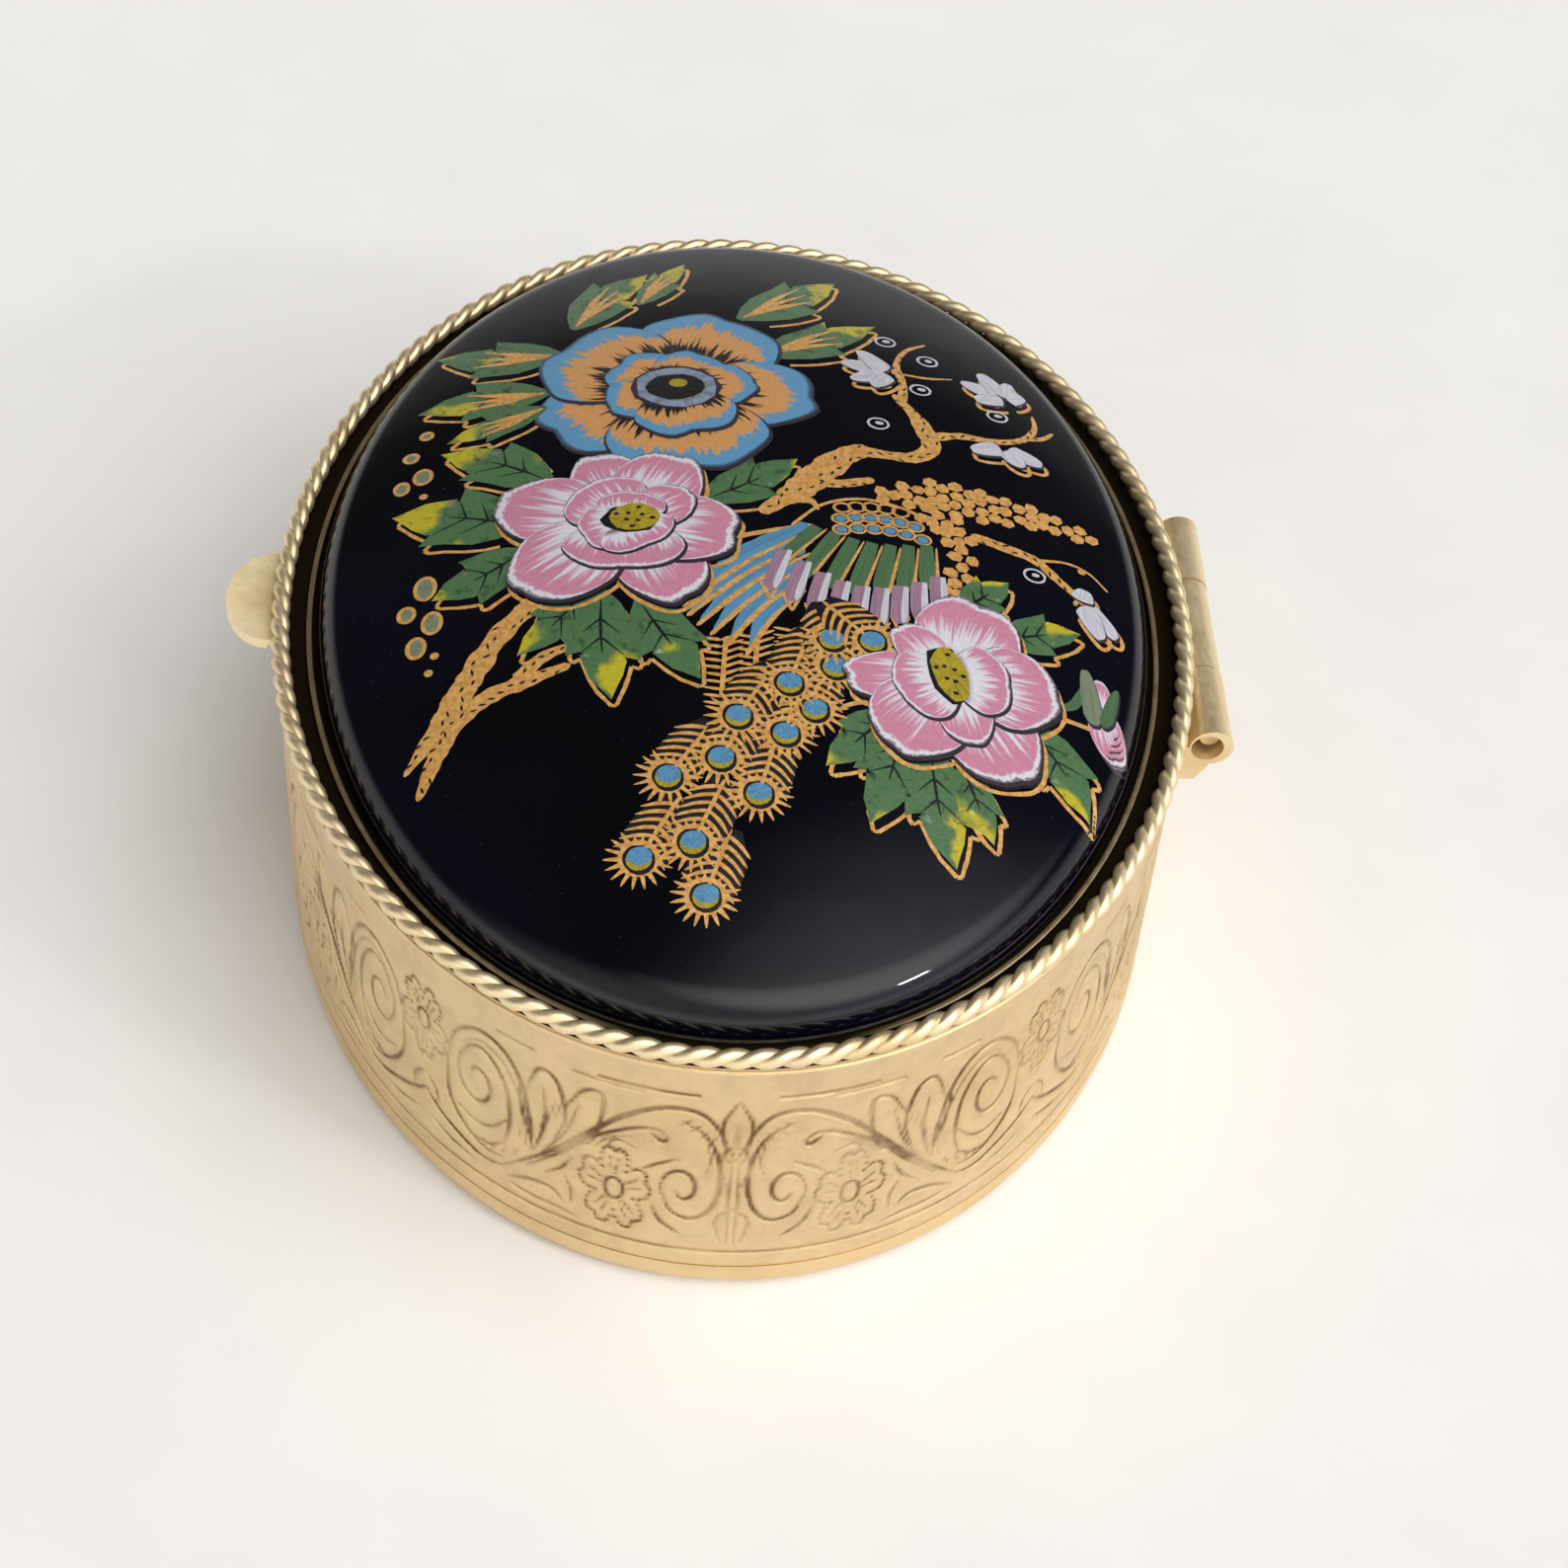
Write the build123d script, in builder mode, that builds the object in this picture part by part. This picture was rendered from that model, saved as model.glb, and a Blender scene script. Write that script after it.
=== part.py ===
"""Oval pill box: a brass band on a pressed pan, and a hinged lid with a rope rim and a porcelain dome.

The origin is the centre of the underside. The long axis is Y, the hinge is on +X and the thumb
tab on -X. Sizes are in millimetres.
"""

from build123d import *
import os

# Driving dimensions
HALF_WIDTH = 19.5  # centre line of the rope, along X
HALF_LENGTH = 25.4  # centre line of the rope, along Y
ROPE_RADIUS = 0.42
CLOSING_HEIGHT = 14.14  # top of the wall, where the lid rests

# Base
WALL_OUT = 0.15  # the wall's outer face, outside the rope's centre line
WALL_THICKNESS = 0.6
PAN_HEIGHT = 1.5
PAN_FLOOR = 0.6
FOOT_RADIUS = 0.9

# Lid
PLATE_OUT = 0.1
PLATE_THICKNESS = 0.3
SKIRT_IN = 0.65  # the skirt's outer face, inside the rope's centre line
SKIRT_THICKNESS = 0.4
SKIRT_DEPTH = 1.24
BEZEL_IN = 1.1
BEZEL_THICKNESS = 0.25
BEZEL_HEIGHT = 0.32
SETTING_EXTRA_LENGTH = 0.6  # the bezel and dome are longer in proportion than the rim
CEMENT_THICKNESS = 0.25

# Porcelain dome
DOME_IN = 1.6
DOME_EDGE = 0.05  # upright part of its side
DOME_SHOULDER = 1.7
DOME_RISE = 4.65  # crown above the start of the shoulder

# Hinge, whose axis is parallel to Y
HINGE_X = 20.3
HINGE_Z = 13.5
PIN_RADIUS = 0.45
PIN_RECESS = 0.6
OUTER_KNUCKLE_RADIUS = 0.95
MIDDLE_KNUCKLE_RADIUS = 0.9
RUNNING_CLEARANCE = 0.05
HINGE_HALF_LENGTH = 6.9
MIDDLE_HALF_LENGTH = 2.75
KNUCKLE_GAP = 0.1
SEAT_CLEARANCE = 0.12
LEAF_THICKNESS = 0.42
SOCKET_RADIUS = 0.7  # open end of the near knuckle, wider than the pin
SOCKET_SHIFT = 0.17
SOCKET_DEPTH = 1.5
BRACKET_DROP = 1.9

# Thumb tab
TAB_WIDTH = 5.5
TAB_REACH = 2.45
TAB_THICKNESS = 0.5
TAB_ROOT_THICKNESS = 0.28

PLATE_TOP = CLOSING_HEIGHT + PLATE_THICKNESS
ROPE_HEIGHT = PLATE_TOP + ROPE_RADIUS
HINGE_PLANE = Plane(origin=(HINGE_X, 0, HINGE_Z), x_dir=(1, 0, 0), z_dir=(0, -1, 0))


def oval(outward, longer=0.0, mode=Mode.ADD):
    """The oval outline, moved outward from the rope's centre line, in the open sketch."""
    return Ellipse(HALF_WIDTH + outward, HALF_LENGTH + outward + longer, mode=mode)


def oval_ring(outward, thickness, longer=0.0):
    """A band between two ovals, in the open sketch."""
    oval(outward, longer)
    oval(outward - thickness, longer, mode=Mode.SUBTRACT)


def hinge_sketch_plane(y):
    """The plane across the hinge axis at y, whose normal is -Y."""
    return HINGE_PLANE.offset(-y)


def write(builder, name):
    """Labels a finished piece and writes its STEP file."""
    builder.part.label = name
    export_step(builder.part, f"parts/{name}.step")


os.makedirs("parts", exist_ok=True)

# Base: a pan with a rounded foot, and the wall that stands on it
with BuildPart() as base_pan:
    with BuildSketch():
        oval(WALL_OUT)
    extrude(amount=PAN_HEIGHT)
    fillet(base_pan.edges().group_by(Axis.Z)[0], radius=FOOT_RADIUS)
    with BuildSketch(Plane.XY.offset(PAN_FLOOR)):
        oval(WALL_OUT - WALL_THICKNESS)
    extrude(amount=PAN_HEIGHT - PAN_FLOOR, mode=Mode.SUBTRACT)
write(base_pan, "base_pan")

with BuildPart() as base_wall:
    with BuildSketch(Plane.XY.offset(PAN_HEIGHT)):
        oval_ring(WALL_OUT, WALL_THICKNESS)
    extrude(amount=CLOSING_HEIGHT - PAN_HEIGHT)
    # Seat for the knuckles
    with BuildSketch(hinge_sketch_plane(HINGE_HALF_LENGTH + SEAT_CLEARANCE)):
        Circle(OUTER_KNUCKLE_RADIUS + SEAT_CLEARANCE)
    extrude(amount=2 * (HINGE_HALF_LENGTH + SEAT_CLEARANCE), mode=Mode.SUBTRACT)
    # Slot in the top edge that the lid's hinge leaf lies in
    slot_bottom = CLOSING_HEIGHT - LEAF_THICKNESS - SEAT_CLEARANCE
    with BuildSketch(Plane.XY.offset(slot_bottom)):
        with Locations((HALF_WIDTH, 0)):
            Rectangle(4 * WALL_THICKNESS, 2 * (MIDDLE_HALF_LENGTH + KNUCKLE_GAP))
    extrude(amount=CLOSING_HEIGHT - slot_bottom, mode=Mode.SUBTRACT)
write(base_wall, "base_wall")


def outer_knuckle(y_low, y_high, socket_y=None):
    """A tube of the hinge on the base, with the bracket that joins it to the wall."""
    with BuildPart() as knuckle:
        with BuildSketch(hinge_sketch_plane(y_high)):
            Circle(OUTER_KNUCKLE_RADIUS)
        extrude(amount=y_high - y_low)
        with BuildSketch(Plane.XY.offset(HINGE_Z - BRACKET_DROP)):
            with Locations((HINGE_X - OUTER_KNUCKLE_RADIUS, (y_low + y_high) / 2)):
                Rectangle(2 * OUTER_KNUCKLE_RADIUS, y_high - y_low)
        extrude(amount=BRACKET_DROP)
        outer_foot = knuckle.edges().filter_by(Axis.Y).group_by(Axis.Z)[0].sort_by(Axis.X)[-1]
        chamfer(outer_foot, length=0.8, length2=0.5)
        with BuildSketch(Plane.XY):
            oval(WALL_OUT)
        extrude(amount=CLOSING_HEIGHT, mode=Mode.SUBTRACT)
        with BuildSketch(hinge_sketch_plane(y_high)):
            Circle(PIN_RADIUS)
        extrude(amount=y_high - y_low, mode=Mode.SUBTRACT)
        if socket_y is not None:
            with BuildSketch(hinge_sketch_plane(socket_y)):
                with Locations((-SOCKET_SHIFT, 0)):
                    Circle(SOCKET_RADIUS)
            extrude(amount=-SOCKET_DEPTH, mode=Mode.SUBTRACT)
    return knuckle


outer_start = MIDDLE_HALF_LENGTH + KNUCKLE_GAP
knuckle_near = outer_knuckle(-HINGE_HALF_LENGTH, -outer_start, socket_y=-HINGE_HALF_LENGTH)
write(knuckle_near, "hinge_knuckle_near")
knuckle_far = outer_knuckle(outer_start, HINGE_HALF_LENGTH)
write(knuckle_far, "hinge_knuckle_far")

with BuildPart() as hinge_pin:
    with BuildSketch(hinge_sketch_plane(HINGE_HALF_LENGTH)):
        Circle(PIN_RADIUS)
    extrude(amount=2 * HINGE_HALF_LENGTH - PIN_RECESS)
    fillet(hinge_pin.edges().filter_by(GeomType.CIRCLE), radius=0.08)
write(hinge_pin, "hinge_pin")

# Lid: plate, skirt, rope rim and bezel
with BuildPart() as lid_plate:
    with BuildSketch(Plane.XY.offset(CLOSING_HEIGHT)):
        oval(PLATE_OUT)
    extrude(amount=PLATE_THICKNESS)
write(lid_plate, "lid_plate")

with BuildPart() as lid_skirt:
    with BuildSketch(Plane.XY.offset(CLOSING_HEIGHT - SKIRT_DEPTH)):
        oval_ring(-SKIRT_IN, SKIRT_THICKNESS)
    extrude(amount=SKIRT_DEPTH)
write(lid_skirt, "lid_skirt")

with BuildPart() as rope_rim:
    with BuildLine(Plane.XY.offset(ROPE_HEIGHT)) as rope_path:
        EllipticalCenterArc((0, 0), HALF_WIDTH, HALF_LENGTH, arc_size=360)
    with BuildSketch(Plane(origin=rope_path.line @ 0, z_dir=rope_path.line % 0)):
        Circle(ROPE_RADIUS)
    sweep(path=rope_path.line)
write(rope_rim, "rope_rim")

with BuildPart() as bezel:
    with BuildSketch(Plane.XY.offset(PLATE_TOP)):
        oval_ring(-BEZEL_IN, BEZEL_THICKNESS, SETTING_EXTRA_LENGTH)
    extrude(amount=BEZEL_HEIGHT)
write(bezel, "bezel")

with BuildPart() as cement_bed:
    with BuildSketch(Plane.XY.offset(PLATE_TOP)):
        oval(-DOME_IN - 0.1, SETTING_EXTRA_LENGTH)
    extrude(amount=CEMENT_THICKNESS)
write(cement_bed, "cement_bed")

# The dome is turned round at its full length, then narrowed to the oval
dome_length = HALF_LENGTH - DOME_IN + SETTING_EXTRA_LENGTH
dome_width = HALF_WIDTH - DOME_IN
dome_bottom = PLATE_TOP + CEMENT_THICKNESS
shoulder_z = dome_bottom + DOME_EDGE
shoulder_x = dome_length - DOME_SHOULDER
crown_z = shoulder_z + DOME_RISE
crown_radius = (shoulder_x**2 + DOME_RISE**2 - DOME_SHOULDER**2) / (2 * (DOME_RISE - DOME_SHOULDER))
crown_centre = Vector(0, crown_z - crown_radius)
shoulder_centre = Vector(shoulder_x, shoulder_z)
blend_direction = (shoulder_centre - crown_centre).normalized()
blend_point = crown_centre + blend_direction * crown_radius
shoulder_middle = (blend_direction + Vector(1, 0)).normalized()
crown_middle = (blend_direction + Vector(0, 1)).normalized()

with BuildPart() as dome_blank:
    with BuildSketch(Plane.XZ):
        with BuildLine():
            Polyline((0, crown_z), (0, dome_bottom), (dome_length, dome_bottom), (dome_length, shoulder_z))
            ThreePointArc(
                (dome_length, shoulder_z),
                shoulder_centre + shoulder_middle * DOME_SHOULDER,
                blend_point,
            )
            ThreePointArc(blend_point, crown_centre + crown_middle * crown_radius, (0, crown_z))
        make_face()
    revolve(axis=Axis.Z)

with BuildPart() as cabochon:
    add(scale(dome_blank.part, by=(dome_width / dome_length, 1, 1), mode=Mode.PRIVATE))
write(cabochon, "cabochon")

# Thumb tab, a half disc on the edge of the plate, thinner where it passes under the rope
rope_edge = HALF_WIDTH + ROPE_RADIUS + 0.03
with BuildPart() as thumb_tab:
    with BuildSketch(Plane.XY.offset(CLOSING_HEIGHT + 0.01)):
        with Locations((-HALF_WIDTH, 0)):
            Rectangle(2 * (rope_edge - HALF_WIDTH), TAB_WIDTH)
    extrude(amount=TAB_ROOT_THICKNESS)
    with BuildSketch(Plane.XY.offset(PLATE_TOP - TAB_THICKNESS)):
        with Locations((-rope_edge, 0)):
            Ellipse(HALF_WIDTH + TAB_REACH - rope_edge, TAB_WIDTH / 2)
            Rectangle(20, TAB_WIDTH, align=(Align.MIN, Align.CENTER), mode=Mode.SUBTRACT)
    extrude(amount=TAB_THICKNESS)
    with BuildSketch(Plane.XY.offset(CLOSING_HEIGHT)):
        oval(PLATE_OUT)
    extrude(amount=1, mode=Mode.SUBTRACT)
write(thumb_tab, "thumb_tab")

# Middle knuckle and its leaf, under the plate
with BuildPart() as lid_knuckle:
    with BuildSketch(hinge_sketch_plane(MIDDLE_HALF_LENGTH)):
        Circle(MIDDLE_KNUCKLE_RADIUS)
    extrude(amount=2 * MIDDLE_HALF_LENGTH)
    with BuildSketch(Plane.XY.offset(CLOSING_HEIGHT - LEAF_THICKNESS)):
        leaf_start = HALF_WIDTH - SKIRT_IN + 0.01
        with Locations(((leaf_start + HINGE_X) / 2, 0)):
            Rectangle(HINGE_X - leaf_start, 2 * MIDDLE_HALF_LENGTH)
    extrude(amount=LEAF_THICKNESS)
    with BuildSketch(hinge_sketch_plane(MIDDLE_HALF_LENGTH)):
        Circle(PIN_RADIUS + RUNNING_CLEARANCE)
    extrude(amount=2 * MIDDLE_HALF_LENGTH, mode=Mode.SUBTRACT)
write(lid_knuckle, "lid_knuckle")
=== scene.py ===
"""Looks of the oval pill box: engraved band, rope rim, hinge, and a decorated porcelain dome.

Lengths are written in millimetres and turned into metres by MM where a mesh is made.
"""

import math

import bpy
import numpy as np
from mathutils import Matrix, Vector


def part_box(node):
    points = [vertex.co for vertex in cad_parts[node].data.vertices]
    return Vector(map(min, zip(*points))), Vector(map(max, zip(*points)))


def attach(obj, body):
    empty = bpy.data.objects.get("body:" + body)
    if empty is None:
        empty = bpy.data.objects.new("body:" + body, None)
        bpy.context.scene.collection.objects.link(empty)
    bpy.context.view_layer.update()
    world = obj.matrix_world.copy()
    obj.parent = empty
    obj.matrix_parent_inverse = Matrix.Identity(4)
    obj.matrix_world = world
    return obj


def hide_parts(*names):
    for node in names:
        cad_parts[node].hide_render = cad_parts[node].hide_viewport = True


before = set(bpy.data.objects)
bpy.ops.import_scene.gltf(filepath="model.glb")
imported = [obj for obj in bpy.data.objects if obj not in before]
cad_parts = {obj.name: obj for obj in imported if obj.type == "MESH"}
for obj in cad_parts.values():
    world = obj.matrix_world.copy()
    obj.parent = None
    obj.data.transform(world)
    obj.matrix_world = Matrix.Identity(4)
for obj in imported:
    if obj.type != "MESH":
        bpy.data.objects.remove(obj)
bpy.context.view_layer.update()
MM = 0.001

# ---------------------------------------------------------------- camera, floor and light

CAMERA_AZIMUTH = math.radians(-3.27)
CAMERA_ELEVATION = math.radians(47.06)
CAMERA_DISTANCE = 147.9  # from the centre of the underside
CAMERA_TARGET = (2.27, -6.26, 10.0)
CAMERA_ROLL = math.radians(4.88)
CAMERA_LENS = 72.5
FLOOR_SIZE = 1800
# Parts of the sky's brightness: a direction, then the range of the dot product with it that is
# mapped smoothly to the last two numbers
SKY = (
    ((0, 0, 1), 0.06, 0.42, 0.88, 0.06),  # horizon
    ((0.12, -0.95, 0), -0.1, 0.6, 0.0, 0.76),  # the room in front
    ((0.42, -0.28, 0.86), 0.7, 0.99, 0.0, 2.3),  # window, high on the right
)
SKY_COLOUR = (1.0, 0.985, 0.965)
KEY_PLACE = (315, -234, 225)
KEY_TARGET = (0, 0, 8)
KEY_SIZE = (60, 26)
KEY_POWER = 0.3
KEY_COLOUR = (1.0, 0.985, 0.96)


def make_camera():
    """The camera at the photograph's angle, turned a little about its own axis."""
    around = math.cos(CAMERA_ELEVATION)
    x, y = math.sin(CAMERA_AZIMUTH) * around, -math.cos(CAMERA_AZIMUTH) * around
    place = Vector((x, y, math.sin(CAMERA_ELEVATION))) * (CAMERA_DISTANCE * MM)
    look = (Vector(CAMERA_TARGET) * MM - place).normalized()
    turn = look.to_track_quat("-Z", "Y").to_matrix().to_4x4()
    data = bpy.data.cameras.new("camera")
    data.lens = CAMERA_LENS
    data.clip_start = 0.005
    camera = bpy.data.objects.new("camera", data)
    camera.matrix_world = Matrix.Translation(place) @ turn @ Matrix.Rotation(CAMERA_ROLL, 4, "Z")
    bpy.context.scene.collection.objects.link(camera)
    bpy.context.scene.camera = camera


def make_key_light():
    """A small rectangular light, high on the right, that makes the dome's highlight."""
    data = bpy.data.lights.new("key", "AREA")
    data.shape = "RECTANGLE"
    data.size, data.size_y = KEY_SIZE[0] * MM, KEY_SIZE[1] * MM
    data.energy = KEY_POWER
    data.color = KEY_COLOUR
    light = bpy.data.objects.new("key", data)
    place, target = Vector(KEY_PLACE), Vector(KEY_TARGET)
    turn = (target - place).normalized().to_track_quat("-Z", "Y").to_matrix().to_4x4()
    light.matrix_world = Matrix.Translation(place * MM) @ turn
    bpy.context.scene.collection.objects.link(light)


def make_studio():
    """Plain pale floor, and a smooth sky: pale at its horizon, in front and at a window, dark above."""
    world = Nodes(bpy.data.worlds.new("studio"), "Background")
    direction = world.tree.nodes.new("ShaderNodeTexCoord").outputs["Generated"]
    strength = None
    for vector, *limits in SKY:
        dot = world.tree.nodes.new("ShaderNodeVectorMath")
        dot.operation = "DOT_PRODUCT"
        world.put(dot.inputs[0], direction)
        dot.inputs[1].default_value = vector
        part = world.band(dot.outputs["Value"], *limits)
        strength = part if strength is None else world.math("ADD", strength, part)
    world.set(Color=SKY_COLOUR, Strength=strength)
    bpy.context.scene.world = world.owner
    bpy.context.scene.view_settings.view_transform = "Standard"
    make_key_light()
    mesh = bpy.data.meshes.new("floor")
    half = FLOOR_SIZE / 2 * MM
    corners = [(-half, -half, 0), (half, -half, 0), (half, half, 0), (-half, half, 0)]
    mesh.from_pydata(corners, [], [(0, 1, 2, 3)])
    floor = bpy.data.objects.new("floor", mesh)
    bpy.context.scene.collection.objects.link(floor)
    mesh.materials.append(floor_material())


# ---------------------------------------------------------------- node helpers


class Nodes:
    """Short names for the shader nodes of a material, or of the world."""

    def __init__(self, owner, shader="Principled BSDF"):
        self.owner = bpy.data.materials.new(owner) if isinstance(owner, str) else owner
        self.owner.use_nodes = True
        self.tree = self.owner.node_tree
        self.shader = self.tree.nodes[shader]

    def add(self, kind, **inputs):
        node = self.tree.nodes.new(kind)
        for key, value in inputs.items():
            self.put(node.inputs[key.replace("_", " ")], value)
        return node

    def put(self, socket, value):
        """Links an output to the socket, or sets its value."""
        if isinstance(value, bpy.types.NodeSocket):
            self.tree.links.new(value, socket)
        elif hasattr(socket.default_value, "__len__") and len(value) == 3:
            socket.default_value = (*value, 1) if len(socket.default_value) == 4 else value
        else:
            socket.default_value = value

    def set(self, **inputs):
        for key, value in inputs.items():
            self.put(self.shader.inputs[key.replace("_", " ")], value)

    def attribute(self, name):
        node = self.tree.nodes.new("ShaderNodeAttribute")
        node.attribute_name = name
        return node

    def place(self, scale=(1, 1, 1)):
        """Object coordinates in millimetres times scale."""
        coordinates = self.tree.nodes.new("ShaderNodeTexCoord").outputs["Object"]
        mapping = self.tree.nodes.new("ShaderNodeMapping")
        self.put(mapping.inputs["Vector"], coordinates)
        mapping.inputs["Scale"].default_value = [s / MM for s in scale]
        return mapping.outputs["Vector"]

    def noise(self, vector, scale=1.0, detail=4.0, rough=0.55):
        node = self.add("ShaderNodeTexNoise", Vector=vector, Scale=scale, Detail=detail, Roughness=rough)
        return node.outputs["Fac"]

    def ramp(self, value, stops):
        node = self.tree.nodes.new("ShaderNodeValToRGB")
        self.put(node.inputs["Fac"], value)
        elements = node.color_ramp.elements
        while len(elements) < len(stops):
            elements.new(0.5)
        for element, (at, colour) in zip(elements, stops):
            element.position = at
            if not hasattr(colour, "__len__"):
                colour = (colour, colour, colour)
            element.color = (*colour, 1)
        return node.outputs["Color"]

    def mix(self, factor, low, high, blend="MIX"):
        node = self.tree.nodes.new("ShaderNodeMix")
        node.data_type = "RGBA"
        node.blend_type = blend
        self.put(node.inputs[0], factor)
        self.put(node.inputs[6], low)
        self.put(node.inputs[7], high)
        return node.outputs[2]

    def math(self, operation, *values):
        node = self.tree.nodes.new("ShaderNodeMath")
        node.operation = operation
        for socket, value in zip(node.inputs, values):
            self.put(socket, value)
        return node.outputs[0]

    def stir(self, value, noise, amount):
        """value plus amount times a noise that is centred on zero."""
        return self.math("ADD", value, self.math("MULTIPLY", self.math("SUBTRACT", noise, 0.5), amount))

    def band(self, value, low, high, out_low=0.0, out_high=1.0):
        """value mapped smoothly from low..high to out_low..out_high, and held outside."""
        node = self.tree.nodes.new("ShaderNodeMapRange")
        node.interpolation_type = "SMOOTHSTEP"
        for socket, number in zip(node.inputs, (value, low, high, out_low, out_high)):
            self.put(socket, number)
        return node.outputs[0]

    def bump(self, height, distance, strength=1.0, normal=None):
        """Bump whose height of 0..1 stands for distance in millimetres."""
        node = self.add("ShaderNodeBump", Height=height, Strength=strength, Distance=distance * MM)
        if normal is not None:
            self.put(node.inputs["Normal"], normal)
        return node.outputs["Normal"]


# ---------------------------------------------------------------- materials

GOLD = (0.80, 0.62, 0.35)
GOLD_DEEP = (0.66, 0.47, 0.22)
GOLD_PINK = (0.80, 0.58, 0.40)
# Painted shade colour for crevices, used where the rope's strands meet
CREVICE_SHADE_COLOUR = (0.13, 0.075, 0.025)
ENGRAVED = (0.17, 0.095, 0.035)
ROPE_GOLD = (0.92, 0.76, 0.47)
HINGE_GOLD = (0.86, 0.70, 0.43)
# Pale cream for the thumb tab: painted light, for the light its top catches
TAB_PAINTED_LIGHT = (0.95, 0.80, 0.50)
TAN = (0.56, 0.42, 0.25)
# Painted shade colour for the groove round the dome, on the lid's plate and bezel
GROOVE_SHADE_COLOUR = (0.022, 0.015, 0.007)


def floor_material():
    """White paper with a faint cloudiness."""
    nodes = Nodes("floor_paper")
    grain = nodes.noise(nodes.place(), 0.08, 3.0)
    nodes.set(
        Base_Color=nodes.ramp(grain, [(0.3, (0.86, 0.855, 0.85)), (0.7, (0.9, 0.895, 0.885))]),
        Roughness=0.9,
        Specular_IOR_Level=0.1,
    )
    return nodes.owner


def gold_material(
    name, base, rough, dirt=0.35, brush=(3, 3, 40), crevice=None, shade_colour=CREVICE_SHADE_COLOUR, metal=1.0
):
    """Gold-tone plating: cloudy colour, fine scratches along one direction, and crevices darkened with
    painted shade.

    dirt is the strength of the specks, and crevice names an attribute that is 1 where the painted shade
    colour lies.
    """
    nodes = Nodes(name)
    place = nodes.place()
    clouds = nodes.noise(place, 0.22, 5.0)
    colour = nodes.ramp(clouds, [(0.32, GOLD_DEEP), (0.5, base), (0.68, GOLD_PINK)])
    colour = nodes.mix(0.55, base, colour)
    scratches = nodes.noise(nodes.place(brush), 0.6, 6.0, 0.7)
    specks = nodes.band(nodes.noise(place, 2.6, 3.0, 0.6), 0.62, 0.72, 0.0, dirt)
    colour = nodes.mix(specks, colour, GOLD_DEEP)
    roughness = nodes.band(scratches, 0.3, 0.7, rough * 0.8, rough * 1.3)
    normal = nodes.bump(scratches, 0.006)
    # Painted shade: the colour is pulled towards the shade colour where the crevice attribute is 1
    if crevice is not None:
        shade = nodes.attribute(crevice).outputs["Fac"]
        colour = nodes.mix(shade, colour, shade_colour)
        roughness = nodes.mix(shade, roughness, (0.6, 0.6, 0.6))
    nodes.set(Base_Color=colour, Metallic=metal, Roughness=roughness, Normal=normal)
    return nodes.owner


def engraved_material():
    """The band's plating, with engraved lines drawn from the distance to the nearest cut."""
    nodes = Nodes("gold_engraved")
    place = nodes.place()
    clouds = nodes.noise(place, 0.12, 4.0)
    colour = nodes.ramp(clouds, [(0.3, GOLD_DEEP), (0.48, GOLD), (0.7, GOLD_PINK)])
    colour = nodes.mix(0.55, GOLD, colour)
    aged = nodes.band(nodes.noise(place, 0.6, 6.0, 0.7), 0.38, 0.68, 0.0, 0.42)
    colour = nodes.mix(aged, colour, TAN)
    cut = nodes.attribute("cut").outputs["Fac"]
    near = nodes.math("ADD", cut, nodes.math("MULTIPLY", nodes.noise(place, 3.0, 3.0), 0.05))
    groove = nodes.band(near, 0.075, -0.045)
    halo = nodes.band(near, 0.3, 0.0, 0.0, 0.4)
    worn = nodes.band(nodes.noise(place, 0.35, 4.0), 0.36, 0.6, 0.35, 1.0)
    colour = nodes.mix(nodes.math("MULTIPLY", halo, worn), colour, GOLD_DEEP)
    colour = nodes.mix(nodes.math("MULTIPLY", groove, worn), colour, ENGRAVED)
    scratches = nodes.noise(nodes.place((1.2, 1.2, 7.0)), 1.6, 6.0, 0.7)
    grain = nodes.noise(place, 9.0, 3.0, 0.7)
    fine = nodes.math("MULTIPLY", grain, 0.4)
    texture = nodes.math("ADD", nodes.math("MULTIPLY", scratches, 0.6), fine)
    pits = nodes.band(nodes.noise(place, 2.2, 3.0, 0.6), 0.63, 0.72, 0.0, 0.4)
    colour = nodes.mix(pits, colour, GOLD_DEEP)
    normal = nodes.bump(texture, 0.026)
    normal = nodes.bump(nodes.band(near, -0.06, 0.15), 0.06, 0.9, normal)
    roughness = nodes.band(texture, 0.35, 0.65, 0.36, 0.5)
    nodes.set(Base_Color=colour, Metallic=1.0, Roughness=roughness, Normal=normal)
    return nodes.owner


def porcelain_material():
    """Near-black cobalt glaze with faint ripples and pinholes."""
    nodes = Nodes("porcelain_glaze")
    place = nodes.place()
    tint = nodes.noise(place, 0.06, 3.0)
    colour = nodes.ramp(tint, [(0.35, (0.0012, 0.0014, 0.0022)), (0.65, (0.0022, 0.0022, 0.008))])
    specks = nodes.band(nodes.noise(place, 5.5, 2.0, 0.4), 0.755, 0.79, 0.0, 0.25)
    colour = nodes.mix(specks, colour, (0.12, 0.12, 0.14))
    nodes.set(
        Base_Color=colour,
        Roughness=nodes.band(nodes.noise(place, 0.35, 5.0), 0.35, 0.7, 0.035, 0.075),
        Normal=nodes.bump(nodes.noise(place, 0.16, 2.0, 0.4), 0.05),
        IOR=1.42,
    )
    return nodes.owner


def cement_material():
    """Grey-brown grainy cement."""
    nodes = Nodes("cement")
    grain = nodes.noise(nodes.place(), 2.2, 6.0)
    nodes.set(
        Base_Color=nodes.ramp(grain, [(0.3, (0.05, 0.045, 0.04)), (0.7, (0.14, 0.125, 0.1))]),
        Roughness=0.85,
        Normal=nodes.bump(grain, 0.03),
    )
    return nodes.owner


# ---------------------------------------------------------------- mesh helpers


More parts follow.
